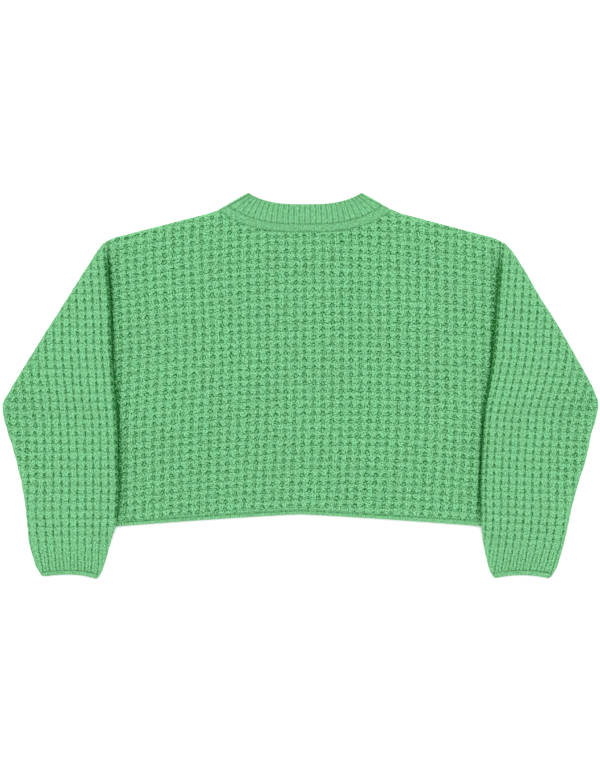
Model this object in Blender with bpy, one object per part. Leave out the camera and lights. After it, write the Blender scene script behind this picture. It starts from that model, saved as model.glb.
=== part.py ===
"""Cropped waffle-knit sweater, laid flat on its front with both sleeves folded down.

Run with: blender --background --python part.py

Metres, +Z up. The sweater lies on z = 0, its neck towards +Y and its back up, so the
wearer's left is at -X. Each piece that is knitted on its own is one closed solid.
The cloth lies in layers: front, back, and on top of their side edges the sleeves. Each
sleeve is folded slantwise from the shoulder tip, so above the underarm four layers of it
lie on each other and share one rounded solid. Below that it is an empty, flattened tube.
"""
import bmesh
import bpy
import numpy as np

MM = 0.001

# Cloth.
CLOTH = 3.6 * MM            # one layer of waffle knit
RIB_CLOTH = 3.4 * MM        # neckband, over its ribs
EDGE_CLOTH = 2.8 * MM       # plain knit edgings
GAP = 0.3 * MM              # between neighbouring pieces
SLOT = 0.6 * MM             # between the two walls of an empty sleeve
EDGE_LIP = 0.3              # share of the thickness left where a layer's edge turns over
SEAM_LIP = 0.7              # the same where an edging is linked on
EDGE_TURN = 4.5 * MM        # how far in from an edge the turning over starts

# Heights of the layers.
BACK_BOTTOM = CLOTH + GAP
BACK_TOP = BACK_BOTTOM + CLOTH
SEAT = BACK_TOP + GAP       # where a folded sleeve lies on the back

# Body, measured from the middle of the garment's box.
SIDES = ("left", "right")
SHOULDER_TIP = {"left": (-293 * MM, 217.5 * MM), "right": (302.5 * MM, 217.5 * MM)}
SHOULDER_ROUND = (20 * MM, 3.5 * MM)    # how far from its tip a shoulder drops, and by how much
HEM_CORNER_X = {"left": -290 * MM, "right": 295 * MM}
HEM_Y = -193.9 * MM         # lowest edge, at the middle
HEM_DROP = 19.4 * MM        # how much lower the hem hangs at its corners
HEM_HALF = 292 * MM
HEM_POWER = 1.17
EDGING = 7 * MM             # height of the hem edging
HEM_PROFILE = (
    # up the edging and out from its inner face, as shares
    (0.0, 0.25), (0.12, 0.0), (1.0, 0.0), (1.0, 1.0), (0.25, 1.0), (0.0, 0.7),
)

# Neck, as rings from the rim down. Heights are along Y; the fold is where front and
# back meet at the side.
NECK_X = 7 * MM
NECK_RINGS = (
    # half width, fold, middle of back, middle of front, all mm
    (84.0, 287.5, 271.2, 228.0),      # rim
    (116.0, 269.5, 241.5, 198.0),     # foot of the ribs
    (129.0, 262.0, 230.0, 187.0),     # foot of the plain edging
)
BACK_NECK_POWER = 3.0
FRONT_NECK_POWER = 2.4
BACK_RIBS = 26
RIB_DEPTH = 0.9 * MM
RIB_CROWDING = (0.2, -0.1)  # how much wider the middle ribs are, at the rim and at the foot
NECK_SEAM = 0.65 * MM       # along Y, between the edging and the panels

# Sleeves, as sections across the garment from the shoulder tip to the cuff edging.
SLEEVE_SECTIONS = {
    "left": (
        # height along Y, outer edge, inner edge, all mm
        (213, 295.5, 289.0),
        (202, 304.6, 289.5),
        (180, 318.6, 288.0),
        (137, 345.7, 285.0),
        (41, 406.8, 281.5),
        (-10, 436.5, 277.5),
        (-24, 444.5, 276.5),
        (-32, 447.0, 276.0),
        (-44, 446.0, 275.0),
        (-68, 439.7, 273.5),
        (-116, 425.6, 272.5),
        (-164, 415.3, 272.0),
        (-212, 409.4, 277.0),
        (-236, 406.9, 284.5),
        (-260, 400.2, 292.0),
        (-272, 395.4, 297.5),
        (-277.5, 391.4, 300.2),
    ),
    "right": (
        (213, 307.0, 300.5),
        (202, 317.8, 300.0),
        (180, 332.5, 298.0),
        (137, 356.7, 295.0),
        (41, 413.9, 288.0),
        (-10, 441.4, 281.0),
        (-24, 446.6, 278.5),
        (-32, 447.0, 277.5),
        (-44, 445.1, 276.0),
        (-68, 438.8, 274.0),
        (-116, 427.4, 271.0),
        (-164, 412.6, 269.5),
        (-212, 401.4, 271.5),
        (-236, 396.1, 274.5),
        (-260, 389.0, 280.1),
        (-272, 383.7, 284.0),
        (-277.5, 380.1, 286.5),
    ),
}
CUFF_SECTIONS = {
    # outer edge and inner edge at the end of the sleeve, then at the cuff's rim, all mm
    "left": ((391.0, 300.7), (387.8, 304.5)),
    "right": ((379.7, 287.0), (374.8, 291.0)),
}
SLEEVE_END_Y = -277.5 * MM
CUFF_END_Y = -284 * MM
CUFF_ARCH = 4 * MM          # how much lower the cuff's folds lie than its middle
TIP_SHARE = 0.35            # height of the fold at the shoulder tip
TIP_LENGTH = 22 * MM
FOLD_NOSE = 9 * MM          # rounding of the slant fold, four layers thick
TUBE_NOSE = 4.5 * MM        # rounding of the edge of two layers
INNER_NOSE = 3.5 * MM
UNDERARM = (-14 * MM, -54 * MM)     # four layers step down to two between these heights
LEAN = 20 * MM              # how far from the body's side a sleeve comes off the floor
TOP_LEAN = 40 * MM          # the same for its upper wall
HEM_LEAN = 30 * MM          # the same past the hem
HEM_CLEAR = 1 * MM
HOLLOW_TOP = -60 * MM       # the sleeve is solid above this height along Y
CUFF_RIBS = 9
CUFF_RIB_FADE = (-244 * MM, -262 * MM)

# How finely the solids are cut.
BODY_STEP = 20 * MM
NECK_STEP = 12 * MM
PANEL_ROWS = 11
PANEL_TURNS = (0.003, 0.011)    # shares up a panel of the rows that round its edges
FLOOR_POINTS = 6            # along the underside of a sleeve's section
CUFF_POINTS = 10            # along each flat side of a cuff's section
NOSE_STEPS = 6              # round a fold
POINTS_PER_RIB = 3

COLOURS = {
    "waffle": (0.166, 0.508, 0.213),
    "rib": (0.168, 0.513, 0.223),
    "plain": (0.178, 0.527, 0.228),
}


def lerp(start, end, share):
    """The value a share of the way from start to end."""
    return start + (end - start) * share


def smooth(share):
    """Ease from 0 to 1 with no slope at either end."""
    share = np.clip(share, 0.0, 1.0)
    return share * share * (3.0 - 2.0 * share)


def turned(distance, lip):
    """Share of a layer's thickness at a distance from its rounded edge."""
    inward = 1.0 - np.clip(distance / EDGE_TURN, 0.0, 1.0)
    return lip + (1.0 - lip) * np.sqrt(1.0 - inward * inward)


def hem_y(x):
    """Height along Y of the hem's lowest edge at x."""
    return HEM_Y - HEM_DROP * np.abs(x / HEM_HALF) ** HEM_POWER


def side_x(side, y):
    """The body's side edge at a height along Y."""
    tip_x, tip_y = SHOULDER_TIP[side]
    corner_x = HEM_CORNER_X[side]
    corner_y = hem_y(corner_x)
    return lerp(corner_x, tip_x, (y - corner_y) / (tip_y - corner_y))


def neck_ring(down):
    """Half width, fold height, back height and front height of the neck, 0 at the rim
    to 2 at the foot of the plain edging."""
    first = min(int(down), len(NECK_RINGS) - 2)
    pair = zip(NECK_RINGS[first], NECK_RINGS[first + 1])
    return [lerp(upper, lower, down - first) * MM for upper, lower in pair]


def neck_y(down, across, behind):
    """Height along Y of a neck ring at a share across of its half width."""
    _, fold, back, front = neck_ring(down)
    middle = back if behind else front
    power = BACK_NECK_POWER if behind else FRONT_NECK_POWER
    return middle + (fold - middle) * np.abs(across) ** power


def panel_top(x, behind):
    """Upper edge of a panel at x: the neck, and the shoulders beside it."""
    half, fold = neck_ring(2.0)[:2]
    across = (x - NECK_X) / half
    if abs(across) <= 1.0:
        return neck_y(2.0, across, behind) - NECK_SEAM
    side = "left" if across < 0 else "right"
    tip_x, tip_y = SHOULDER_TIP[side]
    neck_end = NECK_X + np.sign(across) * half
    shoulder = lerp(fold - NECK_SEAM, tip_y, (x - neck_end) / (tip_x - neck_end))
    to_tip = max(0.0, 1.0 - abs(tip_x - x) / SHOULDER_ROUND[0])
    return shoulder - SHOULDER_ROUND[1] * to_tip ** 2


def material(name, roughness=0.9):
    """One knit material for each kind of cloth."""
    found = bpy.data.materials.get(name)
    if found:
        return found
    made = bpy.data.materials.new(name)
    made.use_nodes = True
    shader = made.node_tree.nodes["Principled BSDF"]
    shader.inputs["Base Color"].default_value = (*COLOURS[name], 1.0)
    shader.inputs["Roughness"].default_value = roughness
    shader.inputs["Metallic"].default_value = 0.0
    return made


def add_solid(name, points, faces, kind):
    """Make one closed solid with its faces pointing out."""
    mesh = bpy.data.meshes.new(name)
    mesh.from_pydata([tuple(point) for point in points], [], faces)
    work = bmesh.new()
    work.from_mesh(mesh)
    bmesh.ops.recalc_face_normals(work, faces=work.faces)
    work.to_mesh(mesh)
    work.free()
    mesh.shade_smooth()
    mesh.set_sharp_from_angle(angle=np.radians(40))
    mesh.materials.append(material(kind))
    thing = bpy.data.objects.new(name, mesh)
    bpy.context.collection.objects.link(thing)
    return thing


def loft(name, rings, kind, closed):
    """Join rings of equally many points. A closed loft returns to its first ring; an
    open one has each end filled."""
    count = len(rings[0])
    points = [point for ring in rings for point in ring]
    pairs = len(rings) if closed else len(rings) - 1
    faces = []
    for ring in range(pairs):
        here = ring * count
        there = (ring + 1) % len(rings) * count
        for index in range(count):
            follow = (index + 1) % count
            faces.append((here + index, here + follow, there + follow, there + index))
    if not closed:
        last = (len(rings) - 1) * count
        faces.append(tuple(range(count)))
        faces.append(tuple(last + index for index in range(count)))
    return add_solid(name, points, faces, kind)


# ---------------------------------------------------------------- body panels

def spread(start, end, step):
    """Evenly spaced values from start to end, without the end."""
    count = max(1, round(abs(end - start) / step))
    return [lerp(start, end, index / count) for index in range(count)]


def panel_columns():
    """Shares across a panel: close together at its edges and along the neck."""
    left, right = SHOULDER_TIP["left"][0], SHOULDER_TIP["right"][0]
    half = neck_ring(2.0)[0]
    neck = (NECK_X - half, NECK_X + half)
    near_left = left + EDGE_TURN
    near_right = right - EDGE_TURN
    places = [left, left + EDGE_TURN / 4]
    places += spread(near_left, neck[0], BODY_STEP)
    places += spread(neck[0], neck[1], NECK_STEP)
    places += spread(neck[1], near_right, BODY_STEP)
    places += [near_right, right - EDGE_TURN / 4, right]
    return [(place - left) / (right - left) for place in places]


def panel_rows():
    """Shares up a panel: close together at the hem and at the neck."""
    edge, turn = PANEL_TURNS
    middle = [lerp(turn, 1.0 - turn, index / PANEL_ROWS) for index in range(PANEL_ROWS + 1)]
    return [0.0, edge] + middle + [1.0 - edge, 1.0]


def panel_share(x, y, sides, bottom, top):
    """Share of the thickness that a panel has at a point, less towards its edges."""
    at_neck = abs(x - NECK_X) < neck_ring(2.0)[0]
    share = turned(min(x - sides[0], sides[1] - x), EDGE_LIP)
    share *= turned(top - y, SEAM_LIP if at_neck else EDGE_LIP)
    return share * turned(y - bottom, SEAM_LIP)


def sheet_faces(wide, tall):
    """Faces of a closed sheet: a grid of points, the same grid again, and their rim."""
    count = wide * tall
    faces = []
    for row in range(tall - 1):
        for column in range(wide - 1):
            low = row * wide + column
            quad = (low, low + 1, low + wide + 1, low + wide)
            faces.append(quad)
            faces.append(tuple(count + index for index in reversed(quad)))
    rim = list(range(wide))
    rim += [row * wide + wide - 1 for row in range(1, tall)]
    rim += [(tall - 1) * wide + column for column in range(wide - 2, -1, -1)]
    rim += [row * wide for row in range(tall - 2, 0, -1)]
    for here, there in zip(rim, rim[1:] + rim[:1]):
        faces.append((here, count + here, count + there, there))
    return faces


def add_panel(name, behind):
    """The back or the front: a layer whose side and shoulder edges turn over."""
    columns = panel_columns()
    rows = panel_rows()
    inner_face = BACK_BOTTOM if behind else CLOTH
    thickness = CLOTH if behind else -CLOTH
    inside, outside = [], []
    for up in rows:
        sides = [lerp(HEM_CORNER_X[side], SHOULDER_TIP[side][0], up) for side in SIDES]
        for across in columns:
            x = lerp(*sides, across)
            bottom = hem_y(x) + EDGING + GAP
            top = panel_top(x, behind)
            y = lerp(bottom, top, up)
            share = panel_share(x, y, sides, bottom, top)
            inside.append((x, y, inner_face))
            outside.append((x, y, inner_face + thickness * share))
    faces = sheet_faces(len(columns), len(rows))
    return add_solid(name, inside + outside, faces, "waffle")


def add_hem(name, behind):
    """A narrow plain edging along the foot of a panel, rounded at its lower edge."""
    inner_face = BACK_BOTTOM if behind else EDGE_CLOTH
    thickness = EDGE_CLOTH if behind else -EDGE_CLOTH
    left, right = HEM_CORNER_X["left"], HEM_CORNER_X["right"]
    rings = []
    for x in spread(left, right, BODY_STEP) + [right]:
        foot = hem_y(x)
        ring = [(x, foot + EDGING * up, inner_face + thickness * out) for up, out in HEM_PROFILE]
        rings.append(ring)
    return loft(name, rings, "plain", closed=False)


# ---------------------------------------------------------------------- neck

def arc_shares(down, count, behind, crowding=0.0):
    """Shares of the half width that cut a neck ring into equal lengths, or into lengths
    that are longer in the middle where crowding is positive."""
    fine = np.linspace(-1.0, 1.0, 801)
    half = neck_ring(down)[0]
    y = neck_y(down, fine, behind)
    length = np.concatenate(([0.0], np.cumsum(np.hypot(np.diff(fine * half), np.diff(y)))))
    length = 2.0 * length / length[-1] - 1.0
    even = np.linspace(-1.0, 1.0, count + 1)
    wanted = even * (1.0 + crowding * (1.0 - even * even))
    return np.interp(wanted, length, fine)


def neck_wall(down, middle_back, middle_front, back_cuts, front_cuts, crowding):
    """Middle line of a flattened neck ring: along the back, round the right-hand fold,
    along the front and round the left-hand fold."""
    half = neck_ring(down)[0]
    bend = (middle_back - middle_front) / 2
    flat = 1.0 - bend / half
    centre = (middle_back + middle_front) / 2
    line = []
    for across in arc_shares(down, back_cuts, True, crowding) * flat:
        line.append((NECK_X + across * half, neck_y(down, across, True), middle_back))
    for turn in np.linspace(np.pi / 2, -np.pi / 2, NOSE_STEPS + 1)[1:-1]:
        across = flat + bend / half * np.cos(turn)
        y = neck_y(down, across, turn > 0)
        line.append((NECK_X + across * half, y, centre + bend * np.sin(turn)))
    for across in arc_shares(down, front_cuts, False)[::-1] * flat:
        line.append((NECK_X + across * half, neck_y(down, across, False), middle_front))
    for turn in np.linspace(-np.pi / 2, np.pi / 2, NOSE_STEPS + 1)[1:-1]:
        across = flat + bend / half * np.cos(turn)
        y = neck_y(down, across, turn > 0)
        line.append((NECK_X - across * half, y, centre + bend * np.sin(turn)))
    return line


def wall_normals(grid):
    """Outward directions of a grid of points, rows down the neck and columns round it."""
    round_step = np.roll(grid, -1, axis=1) - np.roll(grid, 1, axis=1)
    down_step = np.gradient(grid, axis=0)
    normals = np.cross(down_step, round_step)
    return normals / np.linalg.norm(normals, axis=2, keepdims=True)


def add_neck_ring(name, kind, thickness, rows, back_cuts, front_cuts, relief):
    """A flattened ring of the neck. Each row is a place down the neck and its share of
    the thickness. The relief lowers the outer points between ribs."""
    middle_front = thickness / 2
    middle_back = BACK_BOTTOM + thickness / 2
    lines = []
    for down, _ in rows:
        crowding = lerp(*RIB_CROWDING, min(down, 1.0))
        lines.append(neck_wall(down, middle_back, middle_front, back_cuts, front_cuts, crowding))
    grid = np.array(lines)
    normals = wall_normals(grid)
    half_share = np.array([share for _, share in rows])[:, None, None] / 2
    outer = grid + normals * (thickness * half_share - relief[None, :, None])
    inner = grid - normals * thickness * half_share
    rings = list(outer) + list(inner[::-1])
    return loft(name, [[tuple(point) for point in ring] for ring in rings], kind, closed=True)


def add_neckband():
    """The ribbed ring: raised ribs along the back, plain where it lies on the floor."""
    front_cuts = 14
    back_cuts = BACK_RIBS * POINTS_PER_RIB
    relief = np.zeros(back_cuts + front_cuts + 2 * NOSE_STEPS)
    relief[:back_cuts + 1:POINTS_PER_RIB] = RIB_DEPTH
    rows = ((0.0, 0.6), (0.06, 1.0), (0.5, 1.0), (0.93, 1.0), (0.985, 0.7))
    return add_neck_ring("neckband", "rib", RIB_CLOTH, rows, back_cuts, front_cuts, relief)


def add_neck_edging():
    """The plain ring between the ribs and the panels."""
    back_cuts, front_cuts = 24, 16
    relief = np.zeros(back_cuts + front_cuts + 2 * NOSE_STEPS)
    rows = ((1.0, 0.7), (1.15, 1.0), (1.85, 1.0), (2.0, 0.7))
    name = "neck_edging"
    return add_neck_ring(name, "plain", EDGE_CLOTH, rows, back_cuts, front_cuts, relief)


# ------------------------------------------------------------------- sleeves

def sleeve_widths(side, y):
    """Outer and inner edge of a sleeve at a height along Y, as distances from x = 0."""
    table = np.array(SLEEVE_SECTIONS[side])[::-1] * MM
    return np.interp(y, table[:, 0], table[:, 1]), np.interp(y, table[:, 0], table[:, 2])


def hem_end(side):
    """Height along Y below which the body's corner no longer lies under the sleeve."""
    return hem_y(HEM_CORNER_X[side]) - HEM_CLEAR


def past_hem(side, y):
    """1 beside the body, easing to 0 below the hem, where nothing lifts the sleeve."""
    return smooth((y - (hem_end(side) - HEM_LEAN)) / HEM_LEAN)


def below_underarm(y):
    """0 where four layers lie on each other, easing to 1 where there are two."""
    return smooth((UNDERARM[0] - y) / (UNDERARM[0] - UNDERARM[1]))


def sleeve_floor(side, y, place):
    """Underside of a flattened sleeve, which climbs from the floor onto the body."""
    arm = abs(side_x(side, y)) + GAP
    return SEAT * smooth((arm + LEAN - place) / LEAN) * past_hem(side, y)


def sleeve_roof(side, y, place):
    """Top of a folded sleeve: flat above the underarm, draped down from the body below."""
    arm = abs(side_x(side, y)) + GAP
    draped = 2 * CLOTH + SEAT * smooth((arm + TOP_LEAN - place) / TOP_LEAN) * past_hem(side, y)
    tip = lerp(TIP_SHARE, 1.0, smooth((SHOULDER_TIP[side][1] - y) / TIP_LENGTH))
    return lerp(SEAT + 2 * CLOTH * tip, draped, below_underarm(y))


def nose(low, high, reach):
    """Points of a half ellipse that bulges from one place to the one above it as far as
    reach, without its ends."""
    base = max(low[0], high[0]) if reach > low[0] else min(low[0], high[0])
    points = []
    for turn in np.linspace(-np.pi / 2, np.pi / 2, NOSE_STEPS + 1)[1:-1]:
        up = (np.sin(turn) + 1) / 2
        points.append((base + (reach - base) * np.cos(turn), lerp(low[1], high[1], up)))
    return points


def sleeve_outline(side, y):
    """Outline of a sleeve at a height along Y, as (distance from x = 0, height above the
    floor): underside, step onto the body, inner fold, top and outer fold."""
    outer, inner = sleeve_widths(side, y)
    below = below_underarm(y)
    outer_nose = min(lerp(FOLD_NOSE, TUBE_NOSE, below), 0.45 * (outer - inner))
    inner_nose = min(INNER_NOSE, 0.3 * (outer - inner))
    arm = abs(side_x(side, y)) + GAP
    if y < hem_end(side):
        arm = max(arm, inner + inner_nose + INNER_NOSE)
    start = max(outer - outer_nose, arm + 2 * GAP)
    underside = []
    for share in np.linspace(0.0, 1.0, FLOOR_POINTS):
        place = lerp(start, arm + below * INNER_NOSE, share)
        underside.append((place, below * sleeve_floor(side, y, place)))
    ledge = min(inner + inner_nose, arm - GAP)
    underside += [(place, sleeve_floor(side, y, place)) for place in (arm, ledge)]
    ribbed = smooth((CUFF_RIB_FADE[0] - y) / (CUFF_RIB_FADE[0] - CUFF_RIB_FADE[1]))
    cuts = POINTS_PER_RIB * CUFF_RIBS
    top = []
    for index in range(cuts + 1):
        place = lerp(inner + inner_nose, outer - outer_nose, index / cuts)
        groove = 0.0 if index % POINTS_PER_RIB else RIB_DEPTH * ribbed
        top.append((place, sleeve_roof(side, y, place) - groove))
    inner_fold = nose(underside[-1], top[0], inner)
    outer_fold = nose(underside[0], top[-1], outer)[::-1]
    return underside + inner_fold + top + outer_fold


def sleeve_hollow(side, y):
    """Outline of the slot inside a sleeve, point for point with its outline."""
    outer, inner = sleeve_widths(side, y)
    near, far = inner + CLOTH, outer - CLOTH
    outline = sleeve_outline(side, y)
    under_count = FLOOR_POINTS + 2
    fold_count = NOSE_STEPS - 1
    hollow = []
    for index, (place, _) in enumerate(outline):
        share = (place - inner - INNER_NOSE) / (outer - TUBE_NOSE - inner - INNER_NOSE)
        slot_place = lerp(near + SLOT, far - SLOT, np.clip(share, 0.0, 1.0))
        level = (sleeve_floor(side, y, slot_place) + sleeve_roof(side, y, slot_place)) / 2
        lift = -1.0 if index < under_count else 1.0
        if under_count <= index < under_count + fold_count:
            slot_place = near
            lift = 2.0 * (index - under_count + 1) / NOSE_STEPS - 1.0
        elif index >= len(outline) - fold_count:
            slot_place = far
            lift = 2.0 * (len(outline) - index) / NOSE_STEPS - 1.0
        hollow.append((slot_place, level + lift * SLOT / 2))
    return hollow


def place_ring(side, y, outline, outer, inner):
    """Points of an outline in the garment's frame, drawn down towards the edges of the
    cuff."""
    sign = -1.0 if side == "left" else 1.0
    middle, half = (outer + inner) / 2, (outer - inner) / 2
    drawn = CUFF_ARCH * smooth((CUFF_RIB_FADE[0] - y) / (CUFF_RIB_FADE[0] - SLEEVE_END_Y))
    return [(sign * place, y - drawn * ((place - middle) / half) ** 2, high)
            for place, high in outline]


def sleeve_heights(side):
    """Heights along Y where a sleeve's sections are taken, from the shoulder down."""
    heights = [row[0] * MM for row in SLEEVE_SECTIONS[side]]
    heights += [hem_end(side) - HEM_LEAN * share for share in (0.0, 0.35, 0.7, 1.0)]
    return sorted(heights, reverse=True)


def add_sleeve(side):
    """One sleeve: solid where it is folded over itself, a flat open tube below."""
    heights = sleeve_heights(side)
    rings = []
    for y in heights:
        rings.append(place_ring(side, y, sleeve_outline(side, y), *sleeve_widths(side, y)))
    for y in reversed([y for y in heights if y < HOLLOW_TOP]):
        rings.append(place_ring(side, y, sleeve_hollow(side, y), *sleeve_widths(side, y)))
    return loft(f"sleeve_{side}", rings, "waffle", closed=False)


def flat_ring(outer, inner, low, high):
    """Outline of a flattened ring between two heights, with round folds."""
    fold = (high - low) / 2
    places = np.linspace(outer - fold, inner + fold, CUFF_POINTS)
    under = [(place, low) for place in places]
    top = [(place, high) for place in places[::-1]]
    inner_fold = nose(under[-1], top[0], inner)
    outer_fold = nose(under[0], top[-1], outer)[::-1]
    return under + inner_fold + top + outer_fold


def add_cuff(side):
    """The narrow tubular ring at the end of a sleeve."""
    (outer_start, inner_start), (outer_end, inner_end) = CUFF_SECTIONS[side]
    height = 2 * EDGE_CLOTH + SLOT
    rows = ((0.0, 0.3), (0.15, 0.0), (0.8, 0.0), (1.0, 0.4))
    outside, inside = [], []
    for along, trim in rows:
        y = lerp(SLEEVE_END_Y - GAP, CUFF_END_Y, along)
        outer = lerp(outer_start, outer_end, along) * MM
        inner = lerp(inner_start, inner_end, along) * MM
        cut = EDGE_CLOTH * trim
        outline = flat_ring(outer - cut, inner + cut, cut, height - cut)
        outside.append(place_ring(side, y, outline, outer, inner))
        slot = flat_ring(outer - EDGE_CLOTH, inner + EDGE_CLOTH, EDGE_CLOTH, EDGE_CLOTH + SLOT)
        inside.append(place_ring(side, y, slot, outer, inner))
    return loft(f"cuff_{side}", outside + inside[::-1], "plain", closed=True)


# --------------------------------------------------------------------- build

def clear_scene():
    """Remove every object of the scene."""
    for thing in list(bpy.data.objects):
        bpy.data.objects.remove(thing, do_unlink=True)


def build():
    """Make every piece of the sweater."""
    clear_scene()
    add_panel("front", behind=False)
    add_panel("back", behind=True)
    add_hem("hem_front", behind=False)
    add_hem("hem_back", behind=True)
    add_neckband()
    add_neck_edging()
    for side in SIDES:
        add_sleeve(side)
        add_cuff(side)


build()
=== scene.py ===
"""Cropped waffle-knit sweater lying flat: its knitted surfaces, seams and stage.

Metres, +Z up, in the frame of the solid model. The sweater lies on z = 0 with its back
up and its neck towards +Y. Each piece is modelled over the solid that it replaces. The
knitting is counted in waffle cells: across the columns, up the rows, from a pit at 0, 0.
"""

import bmesh
import bpy
import numpy as np
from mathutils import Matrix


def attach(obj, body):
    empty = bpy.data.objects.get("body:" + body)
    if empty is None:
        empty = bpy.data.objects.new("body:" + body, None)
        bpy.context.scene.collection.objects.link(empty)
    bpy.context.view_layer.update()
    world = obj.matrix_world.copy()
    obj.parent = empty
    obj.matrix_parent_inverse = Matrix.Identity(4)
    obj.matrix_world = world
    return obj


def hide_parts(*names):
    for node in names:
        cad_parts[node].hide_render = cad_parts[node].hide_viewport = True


bl_info = {
    "name": "Laid-out waffle-knit sweater",
    "version": (1, 0, 0),
    "blender": (4, 5, 0),
    "location": "View3D > Sidebar > Sweater",
    "description": "Builds the knitted pieces, seams and stage of a cropped sweater",
    "category": "Add Mesh",
}

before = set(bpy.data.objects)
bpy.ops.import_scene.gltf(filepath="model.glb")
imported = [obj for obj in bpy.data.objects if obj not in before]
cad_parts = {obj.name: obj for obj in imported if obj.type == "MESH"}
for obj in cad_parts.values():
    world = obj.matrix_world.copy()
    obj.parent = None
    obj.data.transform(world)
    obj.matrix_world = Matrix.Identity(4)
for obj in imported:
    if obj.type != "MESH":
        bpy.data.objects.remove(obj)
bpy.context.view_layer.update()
MM = 0.001

# Cloth.
CLOTH = 3.6 * MM            # one layer of waffle knit
RIB_CLOTH = 3.4 * MM
EDGE_CLOTH = 2.8 * MM
GAP = 0.3 * MM              # between neighbouring pieces
SLOT = 0.6 * MM             # between the two walls of an empty sleeve
EDGE_LIP = 0.3              # share of the thickness left where a layer's edge turns over
SEAM_LIP = 0.7              # the same where an edging is linked on
EDGE_TURN = 4.5 * MM        # how far in from an edge the turning over starts
BACK_BOTTOM = CLOTH + GAP
SEAT = BACK_BOTTOM + CLOTH + GAP    # where a folded sleeve lies on the back

# Body. A pair of places or heights gives where something starts and where it is full.
SIDES = ("left", "right")
TIP_X = {"left": -293 * MM, "right": 302.5 * MM}    # the tips of the shoulders
TIP_Y = 217.5 * MM
SHOULDER_ROUND = 20 * MM    # how far from its tip a shoulder drops
SHOULDER_DROP = {"left": 3.5 * MM, "right": 2.4 * MM}
SHOULDER_SWEEP = {"left": 1.2 * MM, "right": 2.6 * MM}  # its rise towards the neck
SWEEP_REACH = 16 * MM
HEM_CORNER_X = {"left": -290 * MM, "right": 295 * MM}
HEM_Y = -193.9 * MM         # the hem's lowest edge at x = 0
HEM_DROP = 19.4 * MM        # how much lower it is at HEM_HALF
HEM_HALF = 292 * MM
HEM_POWER = 1.17
EDGING = 7 * MM             # height of a hem edging
HEM_RIM = 1.3 * MM          # how far up it its lower edge turns over

# Neck rings from the rim down: half width, fold, middle of back, middle of front.
NECK_X = 7 * MM
NECK_RINGS = np.array((
    (84.0, 287.5, 271.2, 228.0),
    (116.0, 269.5, 241.5, 198.0),
    (129.0, 262.0, 230.0, 187.0),
)) * MM
BACK_NECK_POWER = 3.0
FRONT_NECK_POWER = 2.4
BACK_RIBS = 26
RIB_CROWDING = (0.2, -0.1)  # at the rim, at the foot of the ribs
RIB_GROOVE = (0.04, 0.24)   # shares of a rib's width from its groove to its crest
RIB_VALLEY = (0.5, 0.38)    # and from the valley to the crest
RIB_VALLEY_DEPTH = 0.4      # share of the groove's depth
NECK_SEAM = 0.65 * MM       # between the neck edging and the panels

# Sleeves, as sections from the shoulder tip to the cuff edging: height along Y, outer
# edge, inner edge, all mm. Cuffs: both edges at the end of the sleeve, then at the rim.
SLEEVE_SECTIONS = {
    "left": (
        (213, 295.5, 289.0),
        (202, 303.7, 289.5),
        (180, 317.9, 288.0),
        (137, 345.0, 285.0),
        (41, 405.9, 281.5),
        (-10, 436.5, 277.5),
        (-24, 444.5, 276.5),
        (-32, 447.0, 276.0),
        (-44, 446.0, 275.0),
        (-68, 439.7, 273.5),
        (-116, 425.6, 272.5),
        (-164, 415.3, 272.0),
        (-212, 409.4, 277.0),
        (-236, 406.9, 284.5),
        (-260, 400.2, 292.0),
        (-272, 395.4, 297.5),
        (-277.5, 391.4, 300.2),
    ),
    "right": (
        (213, 307.0, 300.5),
        (202, 316.8, 300.0),
        (180, 331.6, 298.0),
        (137, 356.5, 295.0),
        (91.5, 385.3, 292.2),
        (41, 414.2, 288.0),
        (-10, 441.4, 281.0),
        (-24, 446.6, 278.5),
        (-32, 447.0, 277.5),
        (-44, 445.1, 276.0),
        (-68, 438.8, 274.0),
        (-116, 427.4, 271.0),
        (-164, 412.6, 269.5),
        (-212, 401.4, 271.5),
        (-236, 396.1, 274.5),
        (-260, 389.0, 280.1),
        (-272, 383.7, 284.0),
        (-277.5, 380.1, 286.5),
    ),
}
CUFF_SECTIONS = {
    "left": ((391.0, 300.7), (387.8, 304.5)),
    "right": ((379.7, 287.0), (374.8, 291.0)),
}
SLEEVE_TOP_Y = 213 * MM
SLEEVE_END_Y = -277.5 * MM
CUFF_END_Y = {"left": -284.3 * MM, "right": -285.2 * MM}
CUFF_ARCH = {"left": (7.2 * MM, 3.2 * MM), "right": (5.0 * MM, 5.3 * MM)}   # inner, outer end
ARCH_START_Y = -244 * MM    # where sections start to be drawn down to the cuff's arch
CUFF_CORNER = 3 * MM        # how far the cuff's rim is drawn in at its folds
CUFF_ROWS = (               # share of the way down, share of its cloth trimmed there
    (0.0, 0.3), (0.1, 0.08), (0.2, 0.0), (0.35, 0.0), (0.6, 0.0), (0.75, 0.0), (0.85, 0.06),
    (0.93, 0.16), (1.0, 0.38),
)
TIP_SHARE = 0.35            # share of a sleeve's thickness left at the shoulder tip
TIP_LENGTH = 22 * MM        # how far below the tip it has all its thickness
FOLD_NOSE = 9 * MM          # how far in the outer fold is round, above the underarm
TUBE_NOSE = 4.5 * MM        # and below it
INNER_NOSE = 3.5 * MM       # how far in the inner fold is round
NOSE_LIMITS = (0.45, 0.3)   # largest shares of a sleeve's width for the outer and the inner
UNDERARM = (-14 * MM, -54 * MM)
LEAN = 20 * MM              # how far beside the body a sleeve comes down to the floor
TOP_LEAN = 40 * MM          # the same for its top
HEM_LEAN = 30 * MM          # and how far below the hem
HEM_CLEAR = 1 * MM
HOLLOW_TOP = -60 * MM       # height along Y at which the slot in a sleeve ends

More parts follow.
